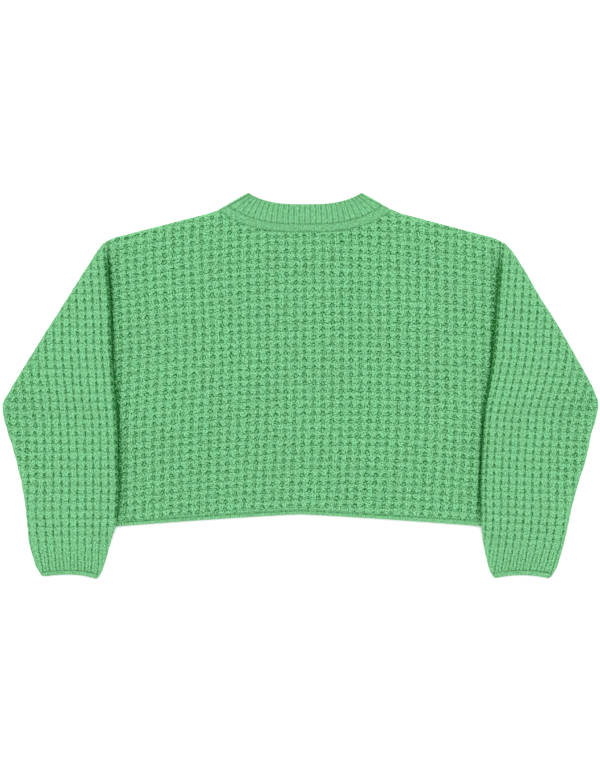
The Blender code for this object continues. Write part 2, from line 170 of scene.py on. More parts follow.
# How the knitting lies on the body: rows bow down from BOW_X, columns lean near the hem.
PIT_PLACE = (61.9 * MM, 4.1 * MM)   # a pit near the middle of the back
BOW = 0.21                  # metres down per square metre
BOW_X = 59.6 * MM
COLUMN_LEAN = 0.207
COLUMN_LEAN_Y = 15 * MM

# How wear has pulled it: aside on the right, in a wave on the left, up below the neck.
PULL = 4.5 * MM
PULL_X = (80 * MM, 230 * MM)
SWAY = (2.6 * MM, -0.8 * MM)        # half the wave's height, and its middle
SWAY_X = (0.0, -230 * MM)
SWAY_WAVE = (60 * MM, 43 * MM)      # height along Y of a crest, and the length of a radian
LIFT = 3.2 * MM
LIFT_Y = (195 * MM, 55 * MM)        # its middle and its reach
LIFT_X = (-25 * MM, 215 * MM)

# How it lies on the sleeves.
FIRST_GROOVE = {"left": (3.7 * MM, 3.7 * MM), "right": (8.2 * MM, 15.2 * MM)}
GROOVE_RISE = (-60 * MM, 50 * MM)   # heights along Y of those places in from the inner edge
SLEEVE_PIT_Y = {"left": -109.7 * MM, "right": -108.3 * MM}
COLUMN_SPREAD = 0.006       # how much each column widens away from the body, per column
DRAWN_BAND = (75 * MM, 150 * MM)    # beside the body, where columns close up to grooves
DRAWN_SHARE = 0.85
DRAWN_CUFF = (-110 * MM, -200 * MM)     # heights along Y between which all columns close up
COLUMN_ANCHOR = -178 * MM   # below this the columns no longer follow the inner edge
COLUMNS_DRAWN = {"left": (8.5 * MM, 12.5 * MM), "right": (-6 * MM, 22 * MM)}    # from each edge
CUFF_RIBS = {"left": (-214 * MM, -264 * MM), "right": (-222 * MM, -258 * MM)}
SLEEVE_STRETCH = {"left": (0.97, 1.05), "right": (0.965, 0.985)}    # columns, rows
SLEEVE_SLANT = {"left": 0.0, "right": 0.055}    # how far rows drop for each metre outwards
SLANT_START = 280 * MM

# The valley that a sleeve presses into the back along its inner edge, and the shade painted into
# it and onto the sleeve's fold beside it.
VALLEY_DEPTH = 1.2 * MM
VALLEY_CORE = {"left": (3.6 * MM, 4.4 * MM), "right": (3.4 * MM, 2.2 * MM)}     # half widths
VALLEY_NARROW = (20 * MM, -110 * MM)    # heights along Y of those half widths
VALLEY_DARK = 0.85          # how dark the painted shade in the valley is, and on the sleeve's fold beside it
VALLEY_SIDE = {"left": (9 * MM, 0.3), "right": (6 * MM, 0.22)}  # its dim slope, and how dim
VALLEY_FOOT = (-120 * MM, -195 * MM)    # heights along Y between which it grows shallower
FOOT_DIM = {"left": 0.46, "right": 0.34}    # by this share
VALLEY_TOP = (210 * MM, 165 * MM)
VALLEY_END = 25 * MM        # how far above the hem the inner edge is as dark as elsewhere
NOSE_SHADE = (2.2 * MM, 8 * MM)     # how far onto the sleeve its dark and its dim parts reach
NOSE_WIDER = (110 * MM, 170 * MM)   # heights along Y between which they grow
NOSE_GROWTH = 0.6           # by how much the dark part reaches further, as a share
NOSE_DIM = (0.2, 0.3)       # how dim the dim part is, below and above
NOSE_LIMIT = 3              # reaches of the dim part past which nothing is shaded
NOSE_UNDER = 0.45           # how dark the fold's lower half is, as a share of its upper half
VALLEY_ON_HEM = 0.6         # share of the valley that shades the hem edging

# Shade along seams and edges.
SEAM_SHADE = 0.9 * MM       # how far a seam's shadow reaches to either side
SEAM_DEPTHS = {"hem": 0.56, "cuff": 0.3, "neck": 0.15, "shoulder": 0.4}
HEM_LINE = (5.2 * MM, 6.8 * MM)     # how far above the hem's lowest edge its seam is darkest
HEM_LINE_RISE = (90 * MM, 230 * MM)     # places along X of those heights
SHOULDER_LINE = {"left": 5.2 * MM, "right": 4.2 * MM}   # how far below its edge its seam runs
SHOULDER_LINE_WIDTH = 1.6 * MM
LIGHT_BELOW = 4.4 * MM      # how far below it the knitting is lighter
LIGHT_SHARE = 0.55          # how much so, as a share of the seam's depth
LIGHT_WIDTH = 1.6 * SHOULDER_LINE_WIDTH
SHOULDER_LINE_FADE = (60 * MM, 160 * MM)    # how far from the tip it starts and ends fading
NECK_FOOT_SPAN = (0.35, 0.7)    # shares across the back within which the foot's seam fades
NECK_FOOT_TURN = 1.6        # how much lighter it gets, as a share of its depth
EDGING_DIM = 0.07           # how much darker the neck edging is than the other edgings
CALM = 0.34                 # how much less shade is painted into the knitting's hollows at a fold or a free edge
CALM_REACH = 5 * MM
HEM_CALM = 0.45             # share of that beside the hem's seam

# Places in a waffle cell, as shares of its size, where the surface has points.
CUTS = ((0.0, 0.085, 0.17, 0.26, 0.5, 0.74, 0.83, 0.915), (0.0, 0.14, 0.28, 0.5, 0.72, 0.86))
COARSE_CUTS = ((0.0, 0.16, 0.5, 0.84), (0.0, 0.25, 0.5, 0.75))
BODY_CELLS = ((-27, 19), (-19, 24))     # first and last column, first and last row
SLEEVE_CELLS = ((-1, 15), (-16, 30))
DRIFT_ROUNDS = 6            # rounds in which a point settles on its row
EDGE_ROUNDS = 8             # and in which the ends of the columns settle on the outline
RELIEF_FADE = 3 * MM        # the relief fades out this near an edge
FLOOR_POINTS = 10
HOLLOW_STEP = 20 * MM
OUTER_NOSE_STEPS = 14
INNER_NOSE_STEPS = 8
HIDDEN_TURN = 0.6           # how far round an outer fold the relief goes, as a share
END_LIP = 0.6 * MM          # how near its end a sleeve has one more section
TOP_FADE = 3                # how many times as far its relief fades out at the shoulder
VALLEY_POINTS = 120         # heights at which a sleeve's inner edge is worked out
ARC_POINTS = 801            # places at which a neck ring is measured
NECK_ROWS = 20
BAND_SPAN = (0.03, 0.95)    # places down the ribs between which they have all their thickness
BAND_RIM = (0.0, 0.55)      # place of the first row, share of the thickness there
BAND_FOOT = (0.985, 0.7)    # the same for the last row
BAND_STITCHES = 10.0        # rows of stitches down the ribs
POINTS_PER_RIB = 12
FRONT_NECK_CUTS = 60
NECK_NOSE_STEPS = 8
EDGING_CUTS = (160, 80)     # along the back, along the front
EDGING_STITCHES = (0.46, 4.0)   # columns for each cut, rows for each step down the neck
HEM_POINTS = 240
HEM_TURN_POINTS = 9         # over its lower edge, and again up its face
HEM_SEAM_LIP = 0.72         # share of its thickness left where it meets the panel
CUFF_POINTS = 36
CUFF_NOSE_STEPS = 8
SEAM_POINTS = 200
CUFF_SEAM_POINTS = 40
SEAM_END = 0.985            # share of the neck's half width that its seams reach
SHARP = 70                  # degrees between faces from which an edge is sharp
PLAIN_STITCH = (3.7 * MM, 2.9 * MM)     # width and height of a stitch of the edgings
MERGE = 0.01 * MM

# Linking stitches: places down the neck of its seams, and levels above the back's underside.
NECK_SEAMS = ((1.0, 2.5 * MM), (2.02, 2.6 * MM))
HEM_SEAM_LEVEL = 2.3 * MM
CUFF_SINK = 0.3 * MM        # how far below the top of the cuff its stitches lie
LOOP_REACH = 0.46           # half a loop's length, as a share of the stitch
LOOP_HEIGHT = 0.9           # its height, as a share of the yarn's thickness
LOOP_CUTS = 6               # along a loop, and round its yarn
LOOP_SIZES = ((0.85, 0.8, 0.8), (1.1, 1.15, 1.2))   # smallest, largest

# Finish: painted light and shade, as shares of the way from the yarn's highlight colour to the
# painted shade of its deepest hollows.
WALE_SHADE = 0.27           # on a smooth wale
HOLLOW_SHADE = 0.72         # from there into the deepest hole
FUZZ_SHADE = 0.18
FUZZ_HEIGHT = 0.35          # mm
FUZZ_GRAIN = (900.0, 2.0)   # noise cells for each metre, and their detail
PATCH_GRAIN = (90.0, 2.0)
BROAD_GRAIN = (12.0, 1.0)
PATCH_HUE = 0.015           # how far colour and brightness drift, in all
PATCH_VALUE = 0.05
BROAD_VALUE = 0.08

# Stage.
FLOOR_HALF = 40.0
FLOOR_LEVEL = -0.2 * MM
LAMP_SIZE = 3.5
LAMP_PLACE = (0.0, 1.6, 4.8)
SENSOR = 36.0
AIM = (-0.4 * MM, 3.75 * MM, 7 * MM)    # the point that the camera looks at
WHITE = (1.0, 1.0, 1.0, 1.0)


def lerp(start, end, share):
    """The value a share of the way from start to end."""
    return start + (end - start) * share


def eased(value, start, end):
    """0 at the start and 1 at the end, whichever is larger, with no slope at either."""
    share = np.clip((value - start) / (end - start), 0.0, 1.0)
    return share * share * (3.0 - 2.0 * share)


def bell(distance, width):
    """1 at 0, dropping off on both sides within a width."""
    return np.exp(-(distance / width) ** 2)


def by_side(x, sides):
    """The value of the side that x lies on."""
    return np.where(x < 0, sides["left"], sides["right"])


def distances(points):
    """How far along a line each of its points lies."""
    steps = np.hypot(*np.diff(points, axis=0).T)
    return np.concatenate(([0.0], np.cumsum(steps)))


def turned(distance, lip):
    """Share of a layer's thickness at a distance from its rounded edge."""
    inward = 1.0 - np.clip(distance / EDGE_TURN, 0.0, 1.0)
    return lip + (1.0 - lip) * np.sqrt(1.0 - inward * inward)


# ------------------------------------------------------------------ formulas in nodes

class Field:
    """A value that a node tree works out. A number can be calculated with."""

    def __init__(self, tree, socket):
        self.tree = tree
        self.socket = socket

    def worked(self, operation, *values):
        """The result of one maths node."""
        node = add_node(self.tree, "ShaderNodeMath", values, operation=operation)
        return Field(self.tree, node.outputs[0])

    def __add__(self, other):
        return self.worked("ADD", self, other)

    def __sub__(self, other):
        return self.worked("SUBTRACT", self, other)

    def __rsub__(self, other):
        return self.worked("SUBTRACT", other, self)

    def __mul__(self, other):
        return self.worked("MULTIPLY", self, other)

    def __truediv__(self, other):
        return self.worked("DIVIDE", self, other)

    def __abs__(self):
        return self.worked("ABSOLUTE", self)

    def nearest(self):
        """The nearest whole number."""
        return self.worked("ROUND", self)

    def floored(self):
        """The whole number at or below."""
        return self.worked("FLOOR", self)

    def wave(self):
        """A cosine with one turn for each whole number, from 0 to 1."""
        return self.worked("COSINE", self * (2.0 * np.pi)) * 0.5 + 0.5

    def bell(self, width):
        """1 at 0, dropping off on both sides within a width."""
        share = self / width
        return self.worked("EXPONENT", share * share * -1.0)

    def ease(self, start, end):
        """0 at the start and 1 at the end, whichever of them is the larger."""
        node = add_node(self.tree, "ShaderNodeMapRange", (self, start, end, 0.0, 1.0),
                        interpolation_type="SMOOTHSTEP")
        return Field(self.tree, node.outputs[0])

    def kept(self):
        """The number held between 0 and 1."""
        return self.worked("MAXIMUM", self.worked("MINIMUM", self, 1.0), 0.0)


def fill(tree, sockets, values):
    """Link or set sockets, in order or by name."""
    named = values if isinstance(values, dict) else dict(enumerate(values))
    for key, value in named.items():
        source = value.socket if isinstance(value, Field) else value
        if isinstance(source, bpy.types.NodeSocket):
            tree.links.new(source, sockets[key])
        else:
            sockets[key].default_value = source


def add_node(tree, kind, values=(), **settings):
    """A new node, first with its settings and then with its inputs linked or set."""
    node = tree.nodes.new(kind)
    for name, setting in settings.items():
        setattr(node, name, setting)
    fill(tree, node.inputs, values)
    return node


def length_of(aside, above):
    """Distance of a point from 0, 0."""
    return aside.worked("SQRT", aside * aside + above * above)


def split(tree, vector):
    """The three numbers of a vector or colour."""
    node = add_node(tree, "ShaderNodeSeparateXYZ", (vector,))
    return [Field(tree, output) for output in node.outputs]


def joined(tree, *values):
    """The vector of up to three numbers."""
    return add_node(tree, "ShaderNodeCombineXYZ", values).outputs[0]


def cell_chances(tree, column, row, seed):
    """Three random numbers from 0 to 1 that stay the same all over a cell."""
    node = add_node(tree, "ShaderNodeTexWhiteNoise", {"Vector": joined(tree, column, row, seed)},
                    noise_dimensions="3D")
    return split(tree, node.outputs["Color"])


def noise(tree, vector, scale, detail):
    """Smooth noise: its value from 0 to 1, and a colour."""
    node = add_node(tree, "ShaderNodeTexNoise",
                    {"Scale": scale, "Detail": detail, "Vector": vector})
    return Field(tree, node.outputs[0]), node.outputs["Color"]


def unevenness(tree, across, up):
    """How the yarn differs along itself, around 0, over about one leg of a stitch."""
    return noise(tree, joined(tree, across, up), 1.0, 0.0)[0] - 0.5


class WaffleCell:
    """What a waffle cell holds at a point of it, each from 0 to 1."""

    PIT = (0.19, 0.2)       # half width and half height of the arch round a pit
    SPREAD = (0.07, 0.08)   # how much these differ from cell to cell, in all
    DROP = 0.09             # how far the arch's middle lies below the cell's
    WANDER = (0.11, 0.13)   # how far a pit lies off its place, in all
    FOOT = (0.38, 0.07, 0.075)  # how far below it its small hole lies, and how large it is
    WALE = 0.33             # how far from the pits' line a wale's middle lies

    def __init__(self, tree, across, up, drawn, seed):
        column = across.nearest()
        row = up.nearest()
        chances = cell_chances(tree, column, row, seed)
        shapes = cell_chances(tree, column, row, seed + 1.0)
        ribbed = (drawn - 1.0).kept()
        closing = drawn.kept()
        aside = across - column + (chances[0] - 0.5) * self.WANDER[0]
        above = up - row + (chances[1] - 0.5) * self.WANDER[1]
        narrowed = aside * (closing * 0.8 + 1.0)
        half_wide, half_tall = [
            shape * spread + half - spread / 2
            for shape, spread, half in zip(shapes, self.SPREAD, self.PIT)
        ]
        reach = length_of(narrowed / half_wide, (above + self.DROP) / half_tall)
        off_groove = abs(narrowed)
        self.strength = (chances[2] * 0.3 + 0.85) * (1.0 - ribbed)
        self.closing = closing
        self.ribbed = ribbed
        self.groove = off_groove.ease(0.28, 0.02)
        self.pit = self.groove * abs(above + self.DROP).ease(0.38, 0.14) * self.strength
        arch = above.ease(-0.36, -0.04) * 0.75 + 0.25
        self.ring = (reach - 1.0).bell(0.6) * arch * self.strength
        self.purl = reach.bell(0.5) * (1.0 - closing * 0.8) * self.strength
        self.halo = reach.bell(1.9)
        down, half_wide, half_tall = self.FOOT
        foot = length_of(narrowed / half_wide, (above + down) / half_tall)
        self.foot = foot.bell(1.0) * self.strength
        raised = off_groove.ease(0.14, 0.26)
        self.dash = (above + 0.25).bell(0.1) * raised * (1.0 - ribbed)
        off_wale = abs(abs(aside) - self.WALE)
        self.valley = (0.5 - abs(aside)).bell(ribbed * 0.05 + 0.06)
        self.round = off_wale.bell(0.16)
        leg_line = up * 4.0 + off_wale * 2.6
        self.legs = leg_line.wave()
        self.weave = unevenness(tree, across * 7.0, leg_line * 1.4)
        self.uneven = unevenness(tree, across * 5.5 + 40.0, up * 5.5)


def waffle_hollow(cell):
    """How deep the knitting lies, for its bumps and for the shade painted into its hollows: 0 on
    the wales, 1 in the darkest holes.
    """
    hollow = cell.ring * 0.44 + cell.halo * 0.12 + cell.foot * 0.2
    hollow = hollow + cell.dash * 0.33
    late = cell.ribbed * cell.ribbed
    hollow = hollow + cell.valley * (late * late * 0.32 + 0.13)
    hollow = hollow + cell.groove * (cell.closing * 0.1 + cell.ribbed * 0.28 + 0.22)
    hollow = (hollow - cell.purl * 0.24) * (1.0 - cell.closing * 0.08)
    return (hollow * (cell.uneven * 1.3 + 1.0)).kept()


# ------------------------------------------------------------------- garment's shape

def hem_y(x):
    """Height along Y of the hem's lowest edge at x."""
    return HEM_Y - HEM_DROP * np.abs(x / HEM_HALF) ** HEM_POWER


def side_x(side, y):
    """The body's side edge at a height along Y."""
    corner_x = HEM_CORNER_X[side]
    corner_y = hem_y(corner_x)
    return lerp(corner_x, TIP_X[side], (y - corner_y) / (TIP_Y - corner_y))


def body_edge(side, y):
    """Distance from x = 0 at which the place beside the body begins."""
    return abs(side_x(side, y)) + GAP


def neck_ring(down):
    """Half width, fold, back and front of the neck, 0 at the rim to 2 at its foot."""
    first = min(int(down), len(NECK_RINGS) - 2)
    return lerp(NECK_RINGS[first], NECK_RINGS[first + 1], down - first)


def neck_y(down, across, behind):
    """Height along Y of a neck ring at a share across of its half width."""
    _, fold, back, front = neck_ring(down)
    middle = back if behind else front
    power = BACK_NECK_POWER if behind else FRONT_NECK_POWER
    return middle + (fold - middle) * np.abs(across) ** power


def panel_top(x, behind):
    """Upper edge of a panel at x: the neck, and the shoulders beside it."""
    half, fold = neck_ring(2.0)[:2]
    across = (x - NECK_X) / half
    neck = neck_y(2.0, np.clip(across, -1.0, 1.0), behind) - NECK_SEAM
    tip_x, rise, drop = [by_side(across, sides)
                         for sides in (TIP_X, SHOULDER_SWEEP, SHOULDER_DROP)]
    neck_end = NECK_X + np.sign(across) * half
    shoulder = lerp(fold - NECK_SEAM, TIP_Y, (x - neck_end) / (tip_x - neck_end))
    shoulder = shoulder + rise * eased(np.abs(x - neck_end), SWEEP_REACH, 0.0)
    to_tip = np.clip(1.0 - np.abs(tip_x - x) / SHOULDER_ROUND, 0.0, 1.0)
    return np.where(np.abs(across) <= 1.0, neck, shoulder - drop * to_tip ** 2)


def smooth_table(y, table):
    """Columns of a table read at a height along Y, with rounded corners."""
    heights = table[:, 0]
    slopes = np.gradient(table, heights, axis=0)
    row = int(np.clip(np.searchsorted(heights, y) - 1, 0, len(heights) - 2))
    step = heights[row + 1] - heights[row]
    share = np.clip((y - heights[row]) / step, 0.0, 1.0)
    square, cube = share ** 2, share ** 3
    value = table[row] * (2 * cube - 3 * square + 1)
    value = value + slopes[row] * step * (cube - 2 * square + share)
    value = value + table[row + 1] * (3 * square - 2 * cube)
    return value + slopes[row + 1] * step * (cube - square)


def sleeve_widths(side, y):
    """Outer and inner edge of a sleeve at a height along Y, as distances from x = 0."""
    return smooth_table(y, np.array(SLEEVE_SECTIONS[side])[::-1] * MM)[1:]


def hem_end(side):
    """Height along Y below which the body's corner no longer lies under the sleeve."""
    return hem_y(HEM_CORNER_X[side]) - HEM_CLEAR


def past_hem(side, y):
    """1 beside the body, easing to 0 below the hem, where nothing lifts the sleeve."""
    return eased(y, hem_end(side) - HEM_LEAN, hem_end(side))


def below_underarm(y):
    """0 where four layers lie on each other, easing to 1 where there are two."""
    return eased(y, *UNDERARM)


def sleeve_floor(side, y, place):
    """Underside of a flattened sleeve, which climbs from the floor onto the body."""
    arm = body_edge(side, y)
    return SEAT * eased(place, arm + LEAN, arm) * past_hem(side, y)


def sleeve_roof(side, y, place):
    """Top of a folded sleeve: flat above the underarm, draped down from the body below."""
    arm = body_edge(side, y)
    draped = 2 * CLOTH + SEAT * eased(place, arm + TOP_LEAN, arm) * past_hem(side, y)
    tip = lerp(TIP_SHARE, 1.0, eased(y, TIP_Y, TIP_Y - TIP_LENGTH))
    return lerp(SEAT + 2 * CLOTH * tip, draped, below_underarm(y))


# --------------------------------------------------------------------------- meshes

def merged(points, faces):
    """Points without repeats, the faces that keep three corners, and which points."""
    keys = np.round(points / MERGE).astype(np.int64)
    _, first, where = np.unique(keys, axis=0, return_index=True, return_inverse=True)
    where = where.ravel()
    kept = []
    for face in faces:
        corners = list(dict.fromkeys(where[list(face)].tolist()))
        if len(corners) > 2:
            kept.append(corners)
    return points[first], kept, first


def turn_outwards(work):
    """Point the faces of a closed mesh outwards."""
    bmesh.ops.recalc_face_normals(work, faces=work.faces)
    if work.calc_volume(signed=True) < 0.0:
        bmesh.ops.reverse_faces(work, faces=work.faces)


def placed(name, data):
    """A new object, linked into the scene."""
    thing = bpy.data.objects.new(name, data)
    bpy.context.collection.objects.link(thing)
    return thing


def add_mesh(name, points, faces, knit, raised, painted_shade):
    """One mesh object that carries on every point its place in the knitting, how far the
    relief is raised there and how much shade is painted on it, painted lighter below 0."""
    points = points.reshape(-1, 3)
    total = len(points)
    points, faces, kept = merged(points, faces)
    mesh = bpy.data.meshes.new(name)
    mesh.from_pydata(points.tolist(), [], faces)
    for title, kind, part, values in (
        ("knit", "FLOAT_VECTOR", "vector", knit),
        ("raised", "FLOAT", "value", raised),
        ("painted_shade", "FLOAT", "value", painted_shade),
    ):
        layer = mesh.attributes.new(title, kind, "POINT")
        values = np.asarray(values, np.float32).reshape(total, -1)[kept]
        layer.data.foreach_set(part, values.ravel())
    work = bmesh.new()
    work.from_mesh(mesh)
    turn_outwards(work)
    work.to_mesh(mesh)
    work.free()
    mesh.shade_smooth()
    return placed(name, mesh)


def grid_faces(wide, tall, closed=False):
    """Quads of a grid of points, row by row. A closed grid goes round in each row."""
    index = np.arange(wide * tall).reshape(tall, wide)
    if closed:
        index = np.column_stack((index, index[:, :1]))
    low, high = index[:-1], index[1:]
    quads = np.stack((low[:, :-1], low[:, 1:], high[:, 1:], high[:, :-1]), axis=-1)
    return quads.reshape(-1, 4).tolist()


def tube_faces(wide, tall):
    """Faces of rings that follow each other, closed at both ends."""
    last = range((tall - 1) * wide, tall * wide)
    return grid_faces(wide, tall, closed=True) + [list(range(wide)), list(last)]


def open_knit(across, up):
    """Places in the knitting where no columns close up."""
    return np.stack((across, up, np.zeros_like(across)), axis=-1)


def closed_loft(name, rings, knit, painted_shade):
    """Rings that return to the first one, as a tube with an inner wall."""
    tall, wide = rings.shape[:2]
    faces = np.array(grid_faces(wide, tall + 1, closed=True)) % (wide * tall)
    painted_shade = np.concatenate((painted_shade, painted_shade[::-1])) * np.ones((tall, wide))
    return add_mesh(name, rings, faces, knit, np.ones(wide * tall), painted_shade)


def run_tree(thing, tree, values):
    """The plain mesh that a geometry tree makes with the values of its named inputs."""
    modifier = thing.modifiers.new(tree.name, "NODES")
    modifier.node_group = tree
    for item in tree.interface.items_tree:
        if item.name in values:
            modifier[item.identifier] = values[item.name]
    graph = bpy.context.evaluated_depsgraph_get()
    return bpy.data.meshes.new_from_object(thing.evaluated_get(graph))


def finished(thing, node):
    """Let a piece stand for its solid: hang it under the root and hide the solid."""
    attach(thing, "root")
    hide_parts(node)


def drift(x, y):
    """How far wear has pulled the body's knitting aside and up at a point."""
    wave = np.cos((y - SWAY_WAVE[0]) / SWAY_WAVE[1])
    sway = (SWAY[0] * wave + SWAY[1]) * eased(x, *SWAY_X)
    crown = 1.0 - 2.0 * ((x - LIFT_X[0]) / LIFT_X[1]) ** 2
    return PULL * eased(x, *PULL_X) + sway, LIFT * bell(y - LIFT_Y[0], LIFT_Y[1]) * crown


def leaning(level):
    """How far the body's columns lean aside in a row, near the hem."""
    return COLUMN_LEAN * np.maximum(0.0, COLUMN_LEAN_Y - level) ** 2


def body_place(raw, level):
    """A point of the body: along its row, but no further than the side edges. The raw
    place is the column's at the neck, the level is the row's at BOW_X."""
    x, y = raw, level
    for _ in range(DRIFT_ROUNDS):
        aside, up = drift(x, y)
        y = level - BOW * (x - BOW_X) ** 2 + up
        x = np.clip(raw - leaning(level) + aside, side_x("left", y), side_x("right", y))
    return x, level - BOW * (x - BOW_X) ** 2 + drift(x, y)[1]


def row_level(x, y):
    """Where the row through a point of the body lies at BOW_X."""
    return y + BOW * (x - BOW_X) ** 2 - drift(x, y)[1]


def panel_grid(knit_size, behind, cuts):
    """Points of a panel along its columns and rows, each held inside its outline."""
    column, row = knit_size
    raw = PIT_PLACE[0] + knit_lines(BODY_CELLS[0], cuts[0]) * column
    level = PIT_PLACE[1] + knit_lines(BODY_CELLS[1], cuts[1]) * row
    lowest, highest = np.full_like(raw, level[0]), np.full_like(raw, level[-1])
    for _ in range(EDGE_ROUNDS):
        x, _ = body_place(raw, lowest)
        lowest = row_level(x, hem_y(x) + EDGING + GAP)
        x, _ = body_place(raw, highest)
        highest = row_level(x, panel_top(x, behind))
    return body_place(raw[None, :], np.clip(level[:, None], lowest, highest))


def knit_lines(cells, cuts):
    """Every place from the first cell to the last where the surface has points."""
    return (np.arange(cells[0], cells[1] + 1)[:, None] + np.array(cuts)).ravel()


def panel_knit(knit_size, x, y):
    """The column and row of the knitting at a point of the body."""
    column, row = knit_size
    level = row_level(x, y)
    across = x + leaning(level) - drift(x, y)[0] - PIT_PLACE[0]
    return across / column, (level - PIT_PLACE[1]) / row


def seam_shade(seam, distance):
    """How dark a surface is at a distance from a seam."""
    return SEAM_DEPTHS[seam] * bell(distance, SEAM_SHADE)


def hem_line(x):
    """How far above the hem's lowest edge its seam is darkest at x."""
    return lerp(*HEM_LINE, eased(x, *HEM_LINE_RISE))


def shoulder_shade(x, to_top):
    """How dark the seam just under a shoulder's edge is, fading out towards the neck."""
    deep = np.zeros_like(x)
    for side in SIDES:
        fade = 1.0 - eased(np.abs(x - TIP_X[side]), *SHOULDER_LINE_FADE)
        off_line = to_top - SHOULDER_LINE[side]
        light = LIGHT_SHARE * bell(off_line - LIGHT_BELOW, LIGHT_WIDTH)
        line = bell(off_line, SHOULDER_LINE_WIDTH) - light
        deep = deep + SEAM_DEPTHS["shoulder"] * fade * line
    return deep


def neck_foot_shade(distance, across):
    """The same at the foot of the neck, where the seam shows only near the middle and is
    lighter than the knitting beside it towards the folds."""
    aside = eased(np.abs(across), *NECK_FOOT_SPAN)
    return seam_shade("neck", distance) * (1.0 - NECK_FOOT_TURN * aside)


def calm(distance):
    """How much less shade is painted into the knitting's hollows at a distance from a fold or a
    free edge.
    """
    return CALM * bell(distance, CALM_REACH)


def sleeve_valley(x, y):
    """How deep a point of the back lies in the valley along a sleeve's inner edge, which also
    sets how much shade is painted there.
    """
    heights = np.linspace(SLEEVE_END_Y, SLEEVE_TOP_Y, VALLEY_POINTS)
    foot = eased(y, *VALLEY_FOOT)
    deep = np.zeros_like(x)
    for side in SIDES:
        edges = [sleeve_widths(side, height)[1] for height in heights]
        distance = np.interp(y, heights, edges) - np.where((x < 0) == (side == "left"), abs(x), 0)
        reach, dim = VALLEY_SIDE[side]
        width = lerp(*VALLEY_CORE[side], eased(y, *VALLEY_NARROW))
        core = bell(distance, width) * VALLEY_DARK + dim * bell(distance, reach)
        deep = np.maximum(deep, core * (1.0 - FOOT_DIM[side] * foot))
    return np.clip(deep, 0.0, 1.0) * eased(y, *VALLEY_TOP)


def close_underside(thing, level):
    """Carry the rim of an open sheet to a level and fill it there."""
    work = bmesh.new()
    work.from_mesh(thing.data)
    rim = [edge for edge in work.edges if edge.is_boundary]
    made = bmesh.ops.extrude_edge_only(work, edges=rim)["geom"]
    for vertex in made:
        if isinstance(vertex, bmesh.types.BMVert):
            vertex.co.z = level
    foot = [edge for edge in made if isinstance(edge, bmesh.types.BMEdge) and edge.is_boundary]
    bmesh.ops.holes_fill(work, edges=foot, sides=0)
    turn_outwards(work)
    work.to_mesh(thing.data)
    work.free()


def add_panel(name, behind, knit_size, cuts):
    """The back or the front, one layer with its relief still to be raised."""
    x, y = panel_grid(knit_size, behind, cuts)
    to_side = np.minimum(x - side_x("left", y), side_x("right", y) - x)
    to_top = panel_top(x, behind) - y
    to_hem = y - hem_y(x) - EDGING - GAP
    at_neck = np.abs(x - NECK_X) < neck_ring(2.0)[0]
    share = turned(to_side, EDGE_LIP) * turned(to_top, np.where(at_neck, SEAM_LIP, EDGE_LIP))
    share = share * turned(to_hem, SEAM_LIP)
    inner_face = BACK_BOTTOM if behind else CLOTH
    z = inner_face + (CLOTH if behind else -CLOTH) * share
    # The valley both sinks the back and is painted on it as shade; seams add painted shade, and
    # free edges are painted lighter.
    painted_shade = sleeve_valley(x, y) if behind else np.zeros_like(x)
    z = z - VALLEY_DEPTH * painted_shade * share
    painted_shade = np.maximum(painted_shade, seam_shade("hem", y - hem_y(x) - hem_line(x)))
    painted_shade = painted_shade - HEM_CALM * calm(to_hem)
    foot = neck_foot_shade(to_top, (x - NECK_X) / neck_ring(2.0)[0])
    painted_shade = painted_shade + np.where(at_neck, foot, shoulder_shade(x, to_top) - calm(to_top))
    knit = open_knit(*panel_knit(knit_size, x, y))
    raised = eased(np.minimum(np.minimum(to_side, to_top), to_hem), 0.0, RELIEF_FADE)
    tall, wide = x.shape
    points = np.stack((x, y, z), axis=-1)
    thing = add_mesh(name, points, grid_faces(wide, tall), knit, raised, painted_shade)
    close_underside(thing, inner_face)
    return thing


def new_tree(name, sizes, seed_kind):
    """A geometry tree and its named inputs, each ready to link or to calculate with."""
    tree = bpy.data.node_groups.new(name, "GeometryNodeTree")
    tree.is_modifier = True
    kinds = {"Geometry": "Geometry", **dict.fromkeys(sizes, "Float")}
    kinds.update({"Seed": seed_kind, "Material": "Material"})
    for title, kind in kinds.items():
        tree.interface.new_socket(title, in_out="INPUT", socket_type=f"NodeSocket{kind}")
    tree.interface.new_socket("Geometry", in_out="OUTPUT", socket_type="NodeSocketGeometry")
    start = tree.nodes.new("NodeGroupInput")
    return tree, {output.name: Field(tree, output) for output in start.outputs}


def end_tree(tree, geometry, material):
    """End a tree in real geometry with its material."""
    real = add_node(tree, "GeometryNodeRealizeInstances", (geometry,))
    paint = add_node(tree, "GeometryNodeSetMaterial",
                     {"Geometry": real.outputs["Geometry"], "Material": material})
    add_node(tree, "NodeGroupOutput", (paint.outputs["Geometry"],))


